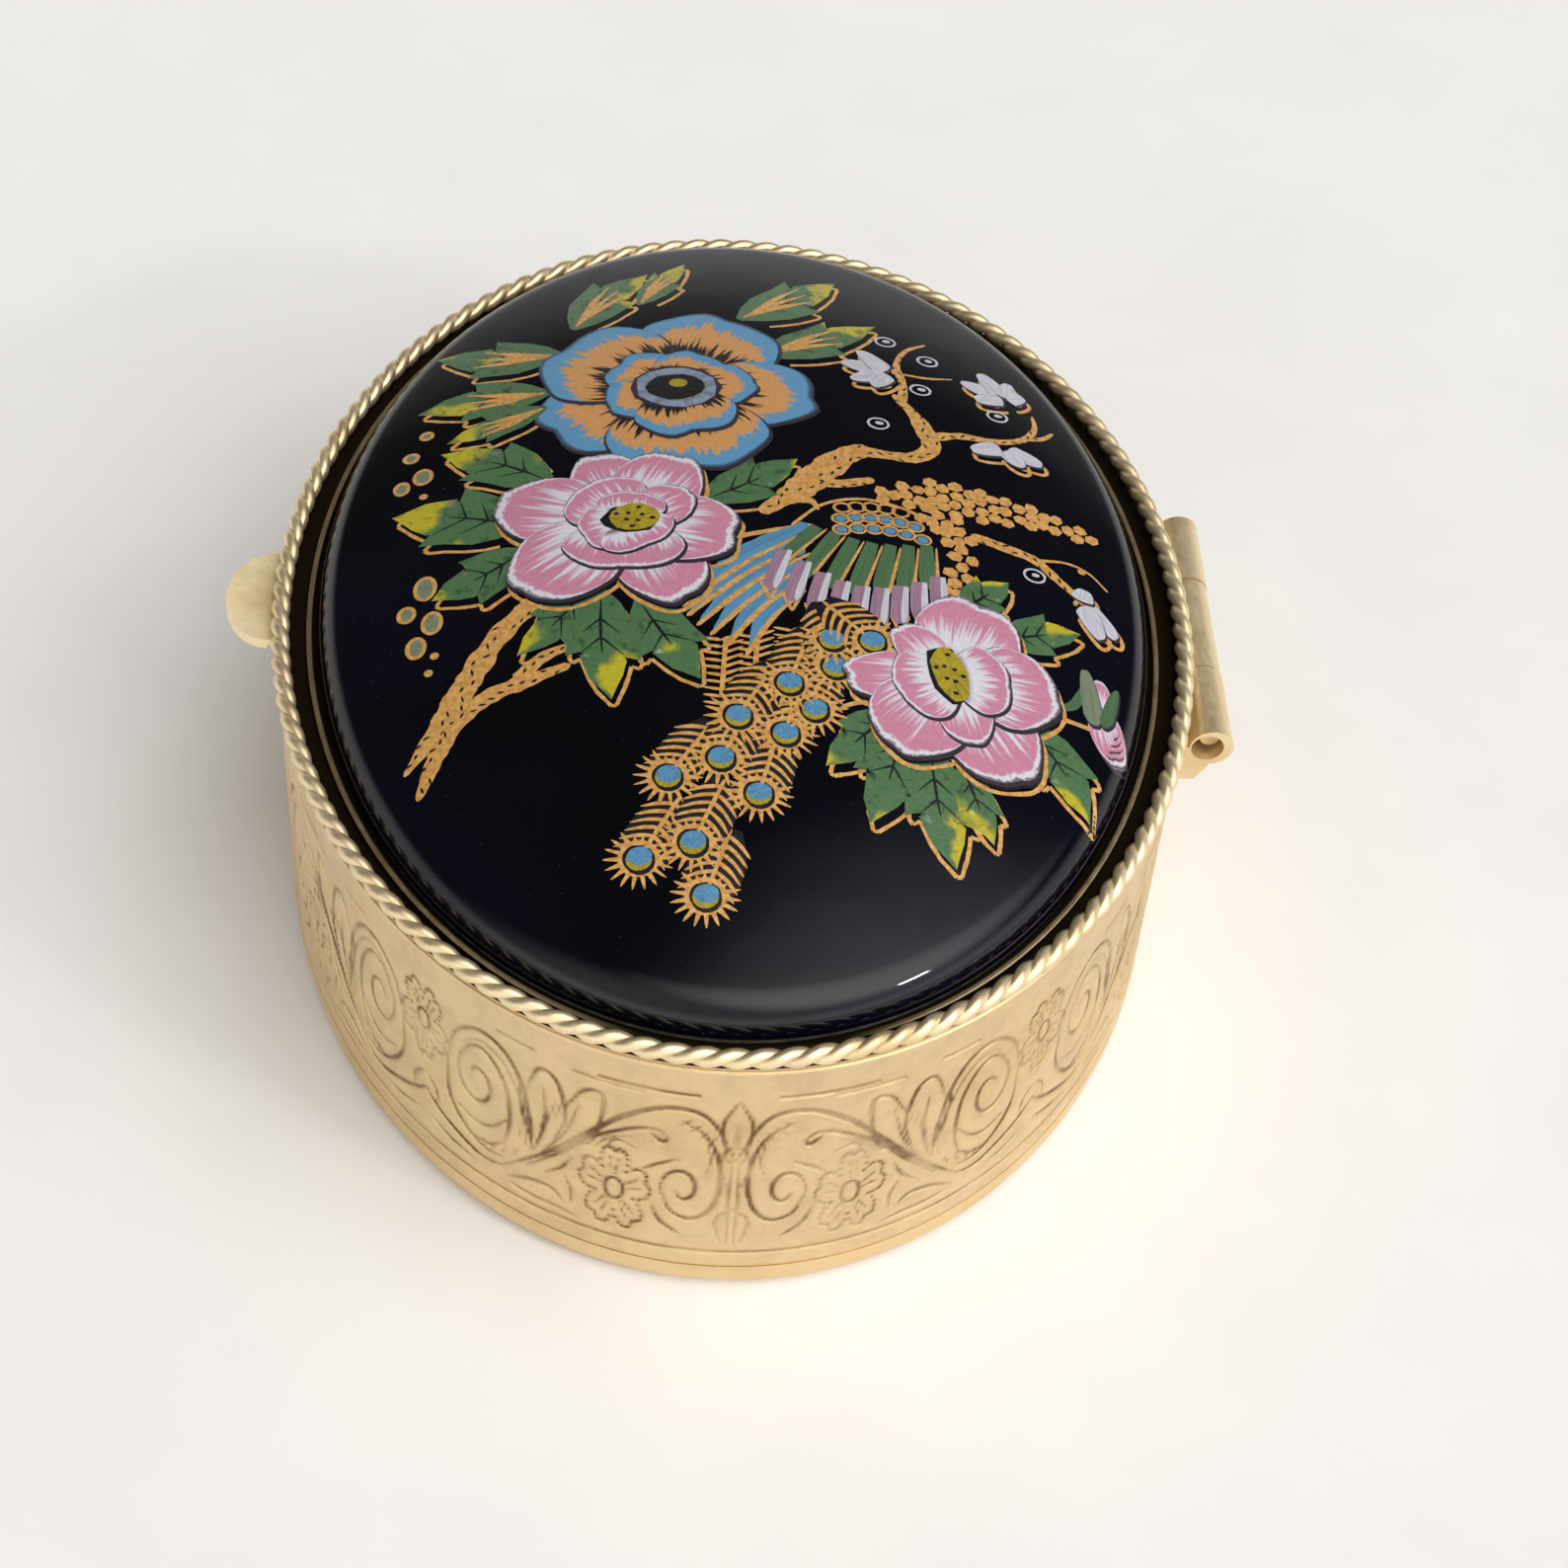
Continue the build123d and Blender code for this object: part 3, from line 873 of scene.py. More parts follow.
class Transfer:
    """Colours and gilt fired on the dome: thin patches, gathered by kind of paint."""

    def __init__(self, dome):
        self.dome = dome
        self.random = np.random.default_rng(7)
        self.paints = {}
        self.count = 0

    def patch(self, paint, grid, lift, shade=0.0):
        """A patch over a grid of plan points; its first axis is t, its second is s."""
        rows, columns = grid.shape[:2]
        store = self.paints.setdefault(paint, [])
        row_step = np.diff(grid, axis=0)[:, :-1]
        column_step = np.diff(grid, axis=1)[:-1]
        turn = (row_step[..., 0] * column_step[..., 1] - row_step[..., 1] * column_step[..., 0]).sum()
        if turn < 0:
            grid = grid[:, ::-1]
        flat = grid.reshape(-1, 2)
        z = self.dome.height(flat[:, 0], flat[:, 1]) + lift
        t, s = np.meshgrid(np.linspace(0, 1, rows), np.linspace(-1, 1, columns), indexing="ij")
        if turn < 0:
            s = -s
        self.count += 1
        seed = np.full(len(flat), (self.count * 0.618) % 1)
        store.append((rows, columns, np.column_stack([flat, z]), t.ravel(), s.ravel(), seed, shade))

    def stroke(self, points, width, lift=GILT_LIFT, paint="gilt", shade=0.0, rough=0.16, blunt=False):
        """A line of the given width, or widths along it, with slightly uneven edges."""
        line = smooth_line(points, 0.15)
        step = np.gradient(line, axis=0)
        side = across(step) / np.linalg.norm(step, axis=1)[:, None]
        t = np.linspace(0, 1, len(line))
        widths = np.atleast_1d(width)
        half = np.interp(t, np.linspace(0, 1, len(widths)), widths) / 2
        uneven = np.convolve(self.random.uniform(-1, 1, len(line) + 2), (0.3, 0.4, 0.3), "valid")
        half = half * (1 + rough * 1.4 * uneven)
        if not blunt:
            half[[0, -1]] *= 0.35
        side = side * half[:, None]
        self.patch(paint, np.stack([line - side, line + side], 1), lift, shade)
        return line

    def ink(self, points, width, lift, colour):
        """A thin line of plain paint."""
        self.stroke(points, width, lift, "plain", tone(colour))

    def spot(self, colour, centre, radii, lift, turn=0.0, wobble=0.0, steps=14):
        """A disc of plain paint."""
        self.disc("plain", centre, radii, lift, tone(colour), turn, wobble, steps)

    def disc(self, paint, centre, radii, lift, shade=0.0, turn=0.0, wobble=0.0, steps=14):
        """An oval spot, whose outline may wobble."""
        angle = np.linspace(0, 2 * math.pi, steps + 1)
        jitter = 1 + wobble * self.random.uniform(-1, 1, steps)
        jitter = np.append(jitter, jitter[0])
        ring = turned(radii[0] * np.cos(angle) * jitter, radii[1] * np.sin(angle) * jitter, turn)
        share = np.array([0.02, 0.5, 1.0])[:, None, None]
        self.patch(paint, np.array(centre) + share * ring[None], lift, shade)

    def ring(self, centre, radii, width, lift=GILT_LIFT, paint="gilt", shade=0.0):
        """An oval line."""
        angle = np.linspace(0, 2 * math.pi, 13)
        points = np.array(centre) + np.stack([radii[0] * np.cos(angle), radii[1] * np.sin(angle)], -1)
        self.stroke(points, width, lift, paint, shade, blunt=True)

    def petal(
        self, paint, centre, angle, reach, half_width, layer, start=0.1, base=0.3, drop=0.5,
        ripple=0.015, notch=0.03, gilt=True, shade=0.0, shadow=0.16
    ):
        """A petal from near centre out to reach, broad and rounded at its tip.

        start and base are the root's distance and width as shares of the petal's, drop is how round
        the tip is, ripple and notch shape its rim, and shadow is how far the dark patch below shows.
        """
        axis = unit_vector(angle)
        side = across(axis)
        t = np.linspace(0, 1, 13)[:, None]
        s = np.linspace(-1, 1, 19)[None]
        phase = self.random.uniform(0, 6)
        cap = s * math.pi / 2
        rim = ripple * np.cos(7.5 * s + phase) - notch * np.exp(-((s / 0.14) ** 2))
        tip = 1 - drop * (1 - np.cos(cap)) + rim
        along = start + (tip - start) * t
        wide = base * s + (np.sin(cap) - base * s) * np.sin(t * math.pi / 2) ** 0.9
        grid = np.array(centre) + reach * along[..., None] * axis + half_width * wide[..., None] * side
        lift = COLOUR_LIFT + LAYER * layer
        if shadow:
            middle = grid[7, 9]
            under = middle + (grid - middle) * 1.03 + [0.05, -shadow]
            self.patch("plain", under, lift - 0.0015, tone("plum"))
        self.patch(paint, grid, lift, shade)
        if gilt:
            outline = np.vstack([grid[5::3, 0], grid[-1, 2:-2:2], grid[:4:-3, -1]])
            raised = lift > COLOUR_LIFT + 0.03
            self.stroke(outline + PRINT_SHIFT, GILT_LINE, COLOUR_LIFT + 0.01 if raised else GILT_LIFT)
            if raised:
                self.patch("plain", grid + 0.62 * PRINT_SHIFT, COLOUR_LIFT + 0.012, tone("black"))

    def petals(self, paint, centre, layer, shapes, **look):
        """Overlapping petals, each given by its angle, reach and half width."""
        for index, shape in enumerate(shapes):
            self.petal(paint, centre, *shape, layer + 2 * index, **look)

    def leaf(self, root, tip, half_width, bend=0.0, hot=False):
        """A toothed leaf with veins, green at its root and yellow at its tip; hot adds gilt flames."""
        root, tip = np.array(root, dtype=float), np.array(tip, dtype=float)
        axis = tip - root
        side = across(axis) / np.linalg.norm(axis)
        fine = np.linspace(0, 8, 25)

        def at(t, w):
            bow = bend * np.sin(math.pi * t)
            return root + t[:, None] * axis + ((w * half_width + bow)[:, None]) * side

        def edge(tooth, sign):
            """One toothed edge, through points given by their share along and their width."""
            t = (0, 0.14, 0.3, tooth - 0.1, tooth + 0.07, tooth + 0.03, 0.8, 0.9, 1.0)
            w = (0.12, 0.6, 0.92, 1.0, 1.12, 0.74, 0.5, 0.24, 0.0)
            return at(np.interp(fine, range(9), t), np.interp(fine, range(9), w) * sign)

        spine_t = np.interp(fine, range(9), (0, 0.13, 0.27, 0.4, 0.52, 0.62, 0.77, 0.89, 1.0))
        spine = at(spine_t, np.zeros(25))
        up, down = edge(0.62, 1), edge(0.5, -1)
        share = np.linspace(-1, 1, 9)
        columns = [spine + abs(k) * ((up if k > 0 else down) - spine) for k in share]
        self.patch("leaf", np.stack(columns, 1), COLOUR_LIFT)
        self.ink(spine[2:17:3], (0.05, 0.15, 0.05), COLOUR_LIFT + 0.001, "black")
        for k in (6, 10):
            for rim in (up, down):
                vein = [spine[k], 0.4 * spine[k + 3] + 0.6 * rim[k + 2]]
                self.ink(vein, (0.12, 0.03), COLOUR_LIFT + 0.001, "black")
        if hot:
            for k, rim in ((2, up), (1, spine), (2, down)):
                end = 0.7 * rim[16] + 0.3 * spine[16]
                flame = [spine[k], 0.5 * (spine[k] + end) + 0.1 * side, end]
                self.stroke(flame, (0.16, 0.34, 0.05), COLOUR_LIFT + 0.0015)
        corners = np.vstack([up[3::2], down[-2:2:-2]]) + PRINT_SHIFT
        for ends in zip(corners[:-1], corners[1:]):
            self.stroke(ends, GILT_LINE * 0.9, blunt=True)

    def branch(self, points, widths, flecks):
        """A gnarled gilt branch, with dark flecks where it is thick."""
        lift = GILT_LIFT + 0.002
        line = self.stroke(points, widths, lift, rough=0.17)
        for k in range(3, len(line) - 3, 3):
            share = k / len(line)
            width = np.interp(share, np.linspace(0, 1, len(widths)), widths)
            if width < 0.3 or not flecks:
                continue
            step = line[k + 1] - line[k]
            step = step / np.linalg.norm(step)
            side = across(step)
            spot = line[k] + side * self.random.uniform(-0.32, 0.32) * width
            turn = step * math.cos(0.5) + side * self.random.uniform(-0.8, 0.8)
            self.ink([spot, spot + turn * 0.3], 0.12, lift + 0.003, "black")

    def scales(self, points, widths):
        """Staggered rounded gilt scales along a band."""
        line = smooth_line(points, 0.05)
        run = np.concatenate([[0], np.cumsum(np.linalg.norm(np.diff(line, axis=0), axis=1))])

        def at(distance):
            return np.array([np.interp(distance, run, line[:, k]) for k in (0, 1)])

        for index, distance in enumerate(np.arange(0.2, run[-1], SCALE_PITCH * 0.82)):
            centre = at(distance)
            step = at(distance + 0.1) - centre
            if np.linalg.norm(step) < 1e-6:
                continue
            step = step / np.linalg.norm(step)
            turn = math.degrees(math.atan2(step[1], step[0]))
            width = np.interp(distance / run[-1], np.linspace(0, 1, len(widths)), widths)
            full = max(1, int(round(width / SCALE_PITCH)))
            number = max(1, full - index % 2)
            for k in range(number):
                aside = (k - (number - 1) / 2) * width / full
                spot = centre + across(step) * aside + self.random.uniform(-0.05, 0.05, 2)
                radii = SCALE_SIZE, SCALE_SIZE * self.random.uniform(0.92, 1.12)
                lean = turn + self.random.uniform(-25, 25)
                self.disc("gilt", spot, radii, GILT_LIFT + 0.002, 0.0, lean, 0.13, 6)

    def finish(self, materials):
        """Makes one piece of each paint's patches."""
        for name, patches in self.paints.items():
            points, faces, start = [], [], 0
            values = {"t": [], "s": [], "seed": [], "tone": []}
            for rows, columns, place, *layers in patches:
                faces += [tuple(start + k for k in face) for face in grid_faces(rows, columns)]
                points.append(place)
                for store, layer in zip(values.values(), layers):
                    store.append(np.broadcast_to(layer, len(place)))
                start += len(place)
            attributes = {key: np.concatenate(parts) for key, parts in values.items()}
            mesh_piece(
                f"transfer_{name}", np.vstack(points), faces, "lid", materials[name],
                attributes=attributes
            )


def paint_nodes(name, roughness=0.3):
    """A paint's nodes, its place along and across the patch, and two noises."""
    nodes = Nodes(name)
    t, s = nodes.attribute("t").outputs["Fac"], nodes.attribute("s").outputs["Fac"]
    seed = nodes.attribute("seed").outputs["Fac"]
    across = nodes.add(
        "ShaderNodeCombineXYZ", X=nodes.math("MULTIPLY", s, 17.0), Y=nodes.math("MULTIPLY", t, 1.1),
        Z=nodes.math("MULTIPLY", seed, 40.0),
    ).outputs[0]
    streak = nodes.noise(across, 1.0, 3.0, 0.6)
    grain = nodes.noise(nodes.place(), 4.5, 3.0, 0.6)
    nodes.set(Roughness=roughness, Coat_Weight=0.25, Coat_Roughness=0.12)
    return nodes, t, s, streak, grain


def finish_paint(nodes, colour, grain, depth=0.02):
    """Sets a paint's colour and its fine relief."""
    nodes.set(Base_Color=colour, Normal=nodes.bump(grain, depth))
    return nodes.owner


def pink_paint():
    """White at the petal's root, streaked into pink, with a pale rim and a dark outline."""
    nodes, t, s, streak, grain = paint_nodes("paint_petal_pink")
    pink = nodes.mix(grain, (0.47, 0.16, 0.26), (0.58, 0.27, 0.37))
    white = nodes.mix(grain, (0.56, 0.55, 0.62), (0.70, 0.70, 0.77))
    reach = nodes.stir(t, streak, 1.5)
    colour = nodes.mix(nodes.band(reach, 0.42, 0.7), white, pink)
    colour = nodes.mix(nodes.band(t, 0.3, 0.08, 0.0, 0.85), colour, (0.13, 0.075, 0.11))
    edge = nodes.math("MAXIMUM", t, nodes.math("ABSOLUTE", s))
    edge = nodes.stir(edge, grain, 0.12)
    colour = nodes.mix(nodes.band(edge, 0.9, 0.94), colour, white)
    colour = nodes.mix(nodes.band(edge, 0.965, 0.985, 0.0, 0.85), colour, (0.10, 0.06, 0.09))
    return finish_paint(nodes, colour, grain)


def blue_paint():
    """Black teeth at the petal's root, then orange, then blue."""
    nodes, t, s, streak, grain = paint_nodes("paint_petal_blue")
    blue = nodes.mix(grain, (0.085, 0.25, 0.44), (0.13, 0.32, 0.52))
    orange = nodes.mix(grain, (0.50, 0.22, 0.07), (0.66, 0.36, 0.13))
    split = nodes.stir(t, streak, 0.5)
    split = nodes.math("ADD", split, nodes.math("MULTIPLY", nodes.math("ABSOLUTE", s), 0.16))
    colour = nodes.mix(nodes.band(split, 0.8, 0.84), orange, blue)
    teeth = nodes.stir(t, streak, 0.9)
    colour = nodes.mix(nodes.band(teeth, 0.5, 0.44), colour, (0.012, 0.008, 0.01))
    edge = nodes.math("MAXIMUM", t, nodes.math("ABSOLUTE", s))
    colour = nodes.mix(nodes.band(edge, 0.955, 0.985, 0.0, 0.8), colour, (0.02, 0.04, 0.07))
    return finish_paint(nodes, colour, grain)


def leaf_paint():
    """Green that turns yellow in patches towards the tip."""
    nodes, t, s, _, grain = paint_nodes("paint_leaf")
    seed = nodes.attribute("seed").outputs["Fac"]
    green = nodes.mix(grain, (0.04, 0.10, 0.045), (0.10, 0.21, 0.085))
    yellow = nodes.mix(grain, (0.34, 0.30, 0.015), (0.58, 0.50, 0.03))
    cloud = nodes.noise(nodes.place(), 0.55, 2.0, 0.45)
    lean = nodes.math("MULTIPLY", s, nodes.band(seed, 0.4, 0.6, -0.22, 0.22))
    reach = nodes.stir(t, cloud, 1.7)
    reach = nodes.math("ADD", reach, lean)
    reach = nodes.math("SUBTRACT", reach, nodes.band(t, 0.85, 1.0, 0.0, 0.2))
    colour = nodes.mix(nodes.band(reach, 0.68, 0.95), green, yellow)
    mottle = nodes.band(nodes.noise(nodes.place(), 1.8, 3.0, 0.6), 0.56, 0.68, 0.0, 0.6)
    colour = nodes.mix(mottle, colour, (0.015, 0.035, 0.018))
    return finish_paint(nodes, colour, grain)


def gilt_paint():
    """Orange gilt, uneven in tone."""
    nodes, *_, grain = paint_nodes("paint_gilt", 0.34)
    colour = nodes.mix(nodes.band(grain, 0.35, 0.65), (0.60, 0.29, 0.07), (0.80, 0.46, 0.15))
    nodes.set(Metallic=0.25)
    return finish_paint(nodes, colour, grain, 0.03)


def plain_paint():
    """One of TONES, picked by the tone attribute, with streaks."""
    nodes, _, _, streak, grain = paint_nodes("paint_plain")
    pick = nodes.tree.nodes.new("ShaderNodeValToRGB")
    pick.color_ramp.interpolation = "CONSTANT"
    nodes.put(pick.inputs["Fac"], nodes.attribute("tone").outputs["Fac"])
    elements = pick.color_ramp.elements
    while len(elements) < len(TONES):
        elements.new(0.5)
    for k, (element, colour) in enumerate(zip(elements, TONES.values())):
        element.position = k / len(TONES)
        element.color = (*colour, 1)
    base = pick.outputs["Color"]
    light = nodes.mix(1.0, base, (1.5, 1.5, 1.5), "MULTIPLY")
    dark = nodes.mix(0.4, base, (0.01, 0.012, 0.02))
    colour = nodes.mix(nodes.band(streak, 0.35, 0.6), dark, base)
    colour = nodes.mix(nodes.band(grain, 0.62, 0.75, 0.0, 0.35), colour, light)
    return finish_paint(nodes, colour, grain)


def decorate(dome):
    """The blossoms, leaves, branches and long-tailed bird."""
    transfer = Transfer(dome)
    draw_branches(transfer)
    draw_leaves(transfer)
    draw_bird(transfer)
    draw_blue_flower(transfer, (-2.7, 9.8))
    draw_peonies(transfer)
    draw_small_blossoms(transfer)
    paints = {"gilt": gilt_paint(), "plain": plain_paint(), "leaf": leaf_paint()}
    transfer.finish({**paints, "pink": pink_paint(), "blue": blue_paint()})


def draw_branches(transfer):
    """Branches: whether they have flecks, their widths along the way, and their points."""
    branches = (
        # Lower left
        (True, (0.9, 0.95, 1.25, 1.0, 0.2),
         (-8.3, -3.9), (-10.0, -6.0), (-11.2, -8.4), (-12.1, -10.3), (-13.5, -12.7)),
        (True, (0.35, 0.75, 0.85, 0.9, 0.25),
         (-7.0, -7.9), (-8.8, -8.6), (-10.4, -9.3), (-11.8, -10.8), (-12.9, -14.0)),
        (True, (0.6, 0.55, 0.3), (-9.2, -8.5), (-8.0, -7.3), (-6.4, -6.7)),
        # Upper right
        (True, (0.5, 1.1, 1.5, 1.3, 0.8), (0.9, 0.9), (2.4, 2.4), (3.6, 3.9), (4.7, 5.2), (5.8, 5.9)),
        (True, (0.75, 0.6, 0.75, 0.85, 0.9, 0.6, 0.3),
         (5.2, 5.7), (6.6, 5.6), (7.8, 5.7), (8.6, 6.6), (8.4, 7.8), (7.9, 9.1), (7.1, 10.4)),
        (True, (0.5, 0.55, 0.4), (3.0, 3.2), (4.4, 3.2), (5.9, 3.7)),
        (True, (0.5, 0.4, 0.35, 0.28, 0.15),
         (7.5, 9.9), (7.6, 11.4), (7.4, 12.9), (7.9, 14.3), (8.9, 15.2)),
        (True, (0.6, 0.45, 0.4, 0.4, 0.3, 0.15),
         (8.6, 7.4), (10.0, 7.9), (11.6, 8.0), (12.9, 8.6), (13.6, 9.7), (13.6, 10.8)),
        (True, (0.35, 0.25, 0.15), (13.0, 8.8), (13.9, 9.1), (14.5, 9.8)),
        (False, (0.2, 0.16, 0.1), (7.6, 12.2), (8.8, 12.2), (10.0, 12.5)),
        # Twigs beside the bird
        (False, (0.3, 0.26, 0.2), (-0.2, -0.7), (1.4, -0.2), (3.1, 0.3)),
        (False, (0.15, 0.3, 0.45, 0.2), (1.1, 0.9), (1.9, 1.7), (3.0, 1.9), (3.4, 1.3)),
        # Right
        (True, (0.5, 0.5, 0.5, 0.42, 0.36, 0.2),
         (10.0, 0.9), (11.5, 0.5), (12.8, 0.1), (13.8, -0.9), (14.8, -1.9), (15.7, -3.4)),
        (False, (0.2, 0.14, 0.12, 0.1), (12.8, 0.1), (14.2, 0.4), (15.2, 0.1), (16.0, -0.8)),
        (False, (0.18, 0.22, 0.15), (3.2, -10.6), (4.6, -9.8), (6.0, -9.6)),
    )
    for flecks, widths, *points in branches:
        transfer.branch(points, widths, flecks)


def draw_leaves(transfer):
    """Leaves, each given by its root, tip, half width and bend, then the bud."""
    groups = (
        # Round the blue flower
        (True, (
            ((-7.4, 15.2), (-4.0, 20.3), 1.35, 0.3),
            ((-4.4, 17.2), (-2.2, 21.4), 0.8, 0),
            ((-7.8, 13.0), (-13.6, 14.0), 1.4, 0.3),
            ((-8.3, 9.9), (-14.2, 9.6), 1.3, -0.2),
            ((-8.4, 8.8), (-12.8, 6.9), 0.9, 0),
            ((0.2, 15.8), (4.9, 20.2), 1.4, -0.2),
            ((1.1, 12.6), (6.6, 16.2), 1.25, -0.2),
        )),
        # Round the left peony
        (False, (
            ((-8.0, 3.2), (-13.0, 6.2), 1.35, -0.25),
            ((-9.2, 0.5), (-14.9, 2.3), 1.7, -0.2),
            ((-9.0, -1.0), (-12.9, -3.4), 1.3, 0.2),
            ((-6.3, -3.4), (-9.2, -7.2), 1.1, 0.2),
            ((-5.8, -3.8), (-5.3, -9.9), 1.35, -0.2),
            ((-4.3, -4.4), (-1.7, -8.9), 1.3, -0.1),
            ((-1.6, 1.6), (2.6, 4.7), 1.2, -0.2),
        )),
        # Round the right peony
        (False, (
            ((9.3, -3.9), (11.5, -1.7), 0.95, 0),
            ((10.9, -5.3), (14.5, -3.9), 1.05, 0.1),
            ((6.2, -10.0), (3.3, -13.1), 1.1, 0),
            ((6.4, -10.4), (5.0, -15.7), 1.35, 0.25),
            ((7.6, -11.6), (8.4, -17.4), 1.3, -0.2),
            ((8.8, -12.2), (10.0, -16.0), 0.8, 0),
            ((11.4, -9.4), (14.1, -14.0), 1.2, 0.3),
        )),
    )
    for hot, leaves in groups:
        for leaf in leaves:
            transfer.leaf(*leaf, hot)
    # Bud at the right edge
    transfer.stroke([(12.4, -8.9), (13.5, -9.0), (14.6, -9.2)], (0.34, 0.3, 0.2))
    transfer.ink([(12.8, -8.5), (13.9, -8.0), (14.6, -6.2)], (0.3, 0.5, 0.05), COLOUR_LIFT, "green")
    petal, bare = transfer.petal, {"start": 0, "gilt": False}
    petal("pink", (14.8, -7.4), -78, 3.6, 0.75, 0, **bare)
    petal("pink", (14.9, -8.2), 84, 1.9, 0.5, 1, **bare)
    petal("plain", (14.7, -8.9), 94, 3.1, 0.42, 2, shade=tone("sage"), drop=0.8, **bare)
    petal("plain", (15.1, -8.9), 72, 2.4, 0.3, 3, shade=tone("green"), drop=0.8, **bare)


def draw_blue_flower(transfer, centre):
    """Two wreaths of petals (angle, reach, half width) and an eye."""
    outer = (208, 6.5, 2.9), (68, 6.6, 3.3), (145, 6.6, 3.3), (-4, 6.4, 2.5), (-82, 6.2, 3.6)
    inner = (140, 3.5, 1.8), (70, 3.1, 1.6), (8, 3.7, 1.6), (205, 3.4, 1.6), (-78, 3.7, 2.3)
    transfer.petals("blue", centre, 0, outer, base=0.35, drop=0.42, ripple=0.025, notch=0.05, gilt=False)
    transfer.petals("blue", centre, 11, inner, base=0.45, drop=0.45, ripple=0.03, notch=0.06, gilt=False)
    lift = COLOUR_LIFT + LAYER * 22
    transfer.spot("plum", centre, (2.0, 1.75), lift, wobble=0.05)
    transfer.spot("lavender", centre, (1.85, 1.6), lift + 0.002, wobble=0.07)
    transfer.spot("sage", centre, (1.4, 1.1), lift + 0.004, wobble=0.06)
    transfer.spot("black", centre, (1.32, 1.02), lift + 0.006, wobble=0.05)
    transfer.spot("mustard", (centre[0] + 0.1, centre[1] + 0.3), (0.42, 0.34), lift + 0.008)


def draw_peonies(transfer):
    """Two pink flowers of wreaths of petals, the later ones smaller and higher."""
    left, right = (-4.8, 0.3), (8.7, -7.9)
    rim = {"ripple": 0.018, "notch": 0.045}
    outer = (
        (108, 4.9, 1.7), (62, 5.0, 2.0), (-62, 5.5, 1.9),
        (-10, 4.9, 2.1), (162, 6.0, 2.1), (221, 6.0, 2.3),
    )
    middle = (125, 3.1, 1.9), (32, 3.3, 1.3), (-95, 3.0, 2.6)
    inner = (80, 1.9, 1.5), (205, 2.1, 1.4), (-60, 1.9, 1.7)
    transfer.petals("pink", left, 23, outer, **rim)
    transfer.petals("pink", left, 36, middle, base=0.6, gilt=False, shadow=0.12)
    transfer.petals("pink", left, 43, inner, base=0.7, gilt=False, shadow=0.1)
    draw_seed_head(transfer, (-4.5, 0.5), (1.1, 0.85), 0, 50)
    outer = (72, 4.9, 2.3), (-62, 5.6, 2.1), (0, 4.6, 2.2), (186, 4.7, 1.3), (236, 4.9, 2.1)
    inner = (132, 3.4, 1.1), (-78, 3.5, 1.2), (5, 2.5, 1.8), (205, 2.6, 1.8)
    transfer.petals("pink", right, 23, outer, **rim)
    transfer.petals("pink", right, 34, inner, base=0.6, gilt=False, shadow=0.12)
    draw_seed_head(transfer, (8.6, -7.7), (0.75, 1.45), 12, 44)


def draw_seed_head(transfer, centre, radii, turn, layer):
    """A mustard head with black seeds."""
    lift = COLOUR_LIFT + LAYER * layer
    shadow = np.array(centre) + [-0.12, -0.12]
    transfer.spot("black", shadow, (radii[0] * 1.12, radii[1] * 1.1), lift - 0.002, turn, 0.1)
    transfer.spot("mustard", centre, radii, lift, turn, 0.08)
    for k in range(8):
        angle = 2.4 * k + 0.4
        share = 0.72 if k % 2 else 0.34
        seed = turned(radii[0] * share * math.cos(angle), radii[1] * share * math.sin(angle), turn)
        transfer.spot("black", centre + seed, (0.12, 0.1), lift + 0.003, wobble=0.2, steps=7)


def draw_small_blossoms(transfer):
    """White blossoms on the twigs, small rings, and gilt berries."""
    groups = (
        ((7.0, 12.1), ((165, 2.3), (128, 2.2), (205, 2.0), (238, 1.5))),
        ((12.4, 11.7), ((160, 2.2), (120, 2.2), (200, 1.6), (80, 1.5), (30, 1.1))),
        ((12.0, 7.6), ((200, 1.7), (-20, 1.9), (-55, 1.4))),
        ((14.7, -1.9), ((-50, 2.3), (-70, 2.2), (75, 0.9))),
    )
    for centre, petals in groups:
        for layer, (angle, reach) in enumerate(petals):
            transfer.petal(
                "plain", centre, angle, reach, 0.5, layer, drop=0.75, shade=tone("white"), shadow=0.14
            )
    for centre in ((7.0, 14.9), (8.9, 13.7), (8.4, 11.1), (6.3, 7.9), (11.9, 10.1), (12.7, -0.9)):
        transfer.ring(centre, (0.46, 0.4), 0.11, COLOUR_LIFT, "plain", tone("white"))
        middle = (centre[0] + 0.05, centre[1] + 0.05)
        transfer.spot("white", middle, (0.2, 0.13), COLOUR_LIFT, wobble=0.15, steps=8)
    for centre, radii in (
        ((-13.2, -2.6), (0.42, 0.66)), ((-13.9, -4.0), (0.33, 0.42)), ((-12.8, -4.7), (0.38, 0.6)),
        ((-13.4, -6.0), (0.36, 0.55)), ((-14.3, 6.3), (0.3, 0.3)), ((-13.7, 4.8), (0.38, 0.5)),
        ((-14.6, 4.2), (0.3, 0.4)), ((-13.7, 7.8), (0.26, 0.26)),
    ):
        transfer.spot("sage", centre, radii, GILT_LIFT, wobble=0.05)
        transfer.ring(centre, radii, 0.17, GILT_LIFT + 0.003)
    for centre in ((-12.6, -6.6), (-12.8, -7.5), (-13.6, 3.4), (14.9, 0.1)):
        transfer.disc("gilt", centre, (0.2, 0.2), GILT_LIFT, steps=8)


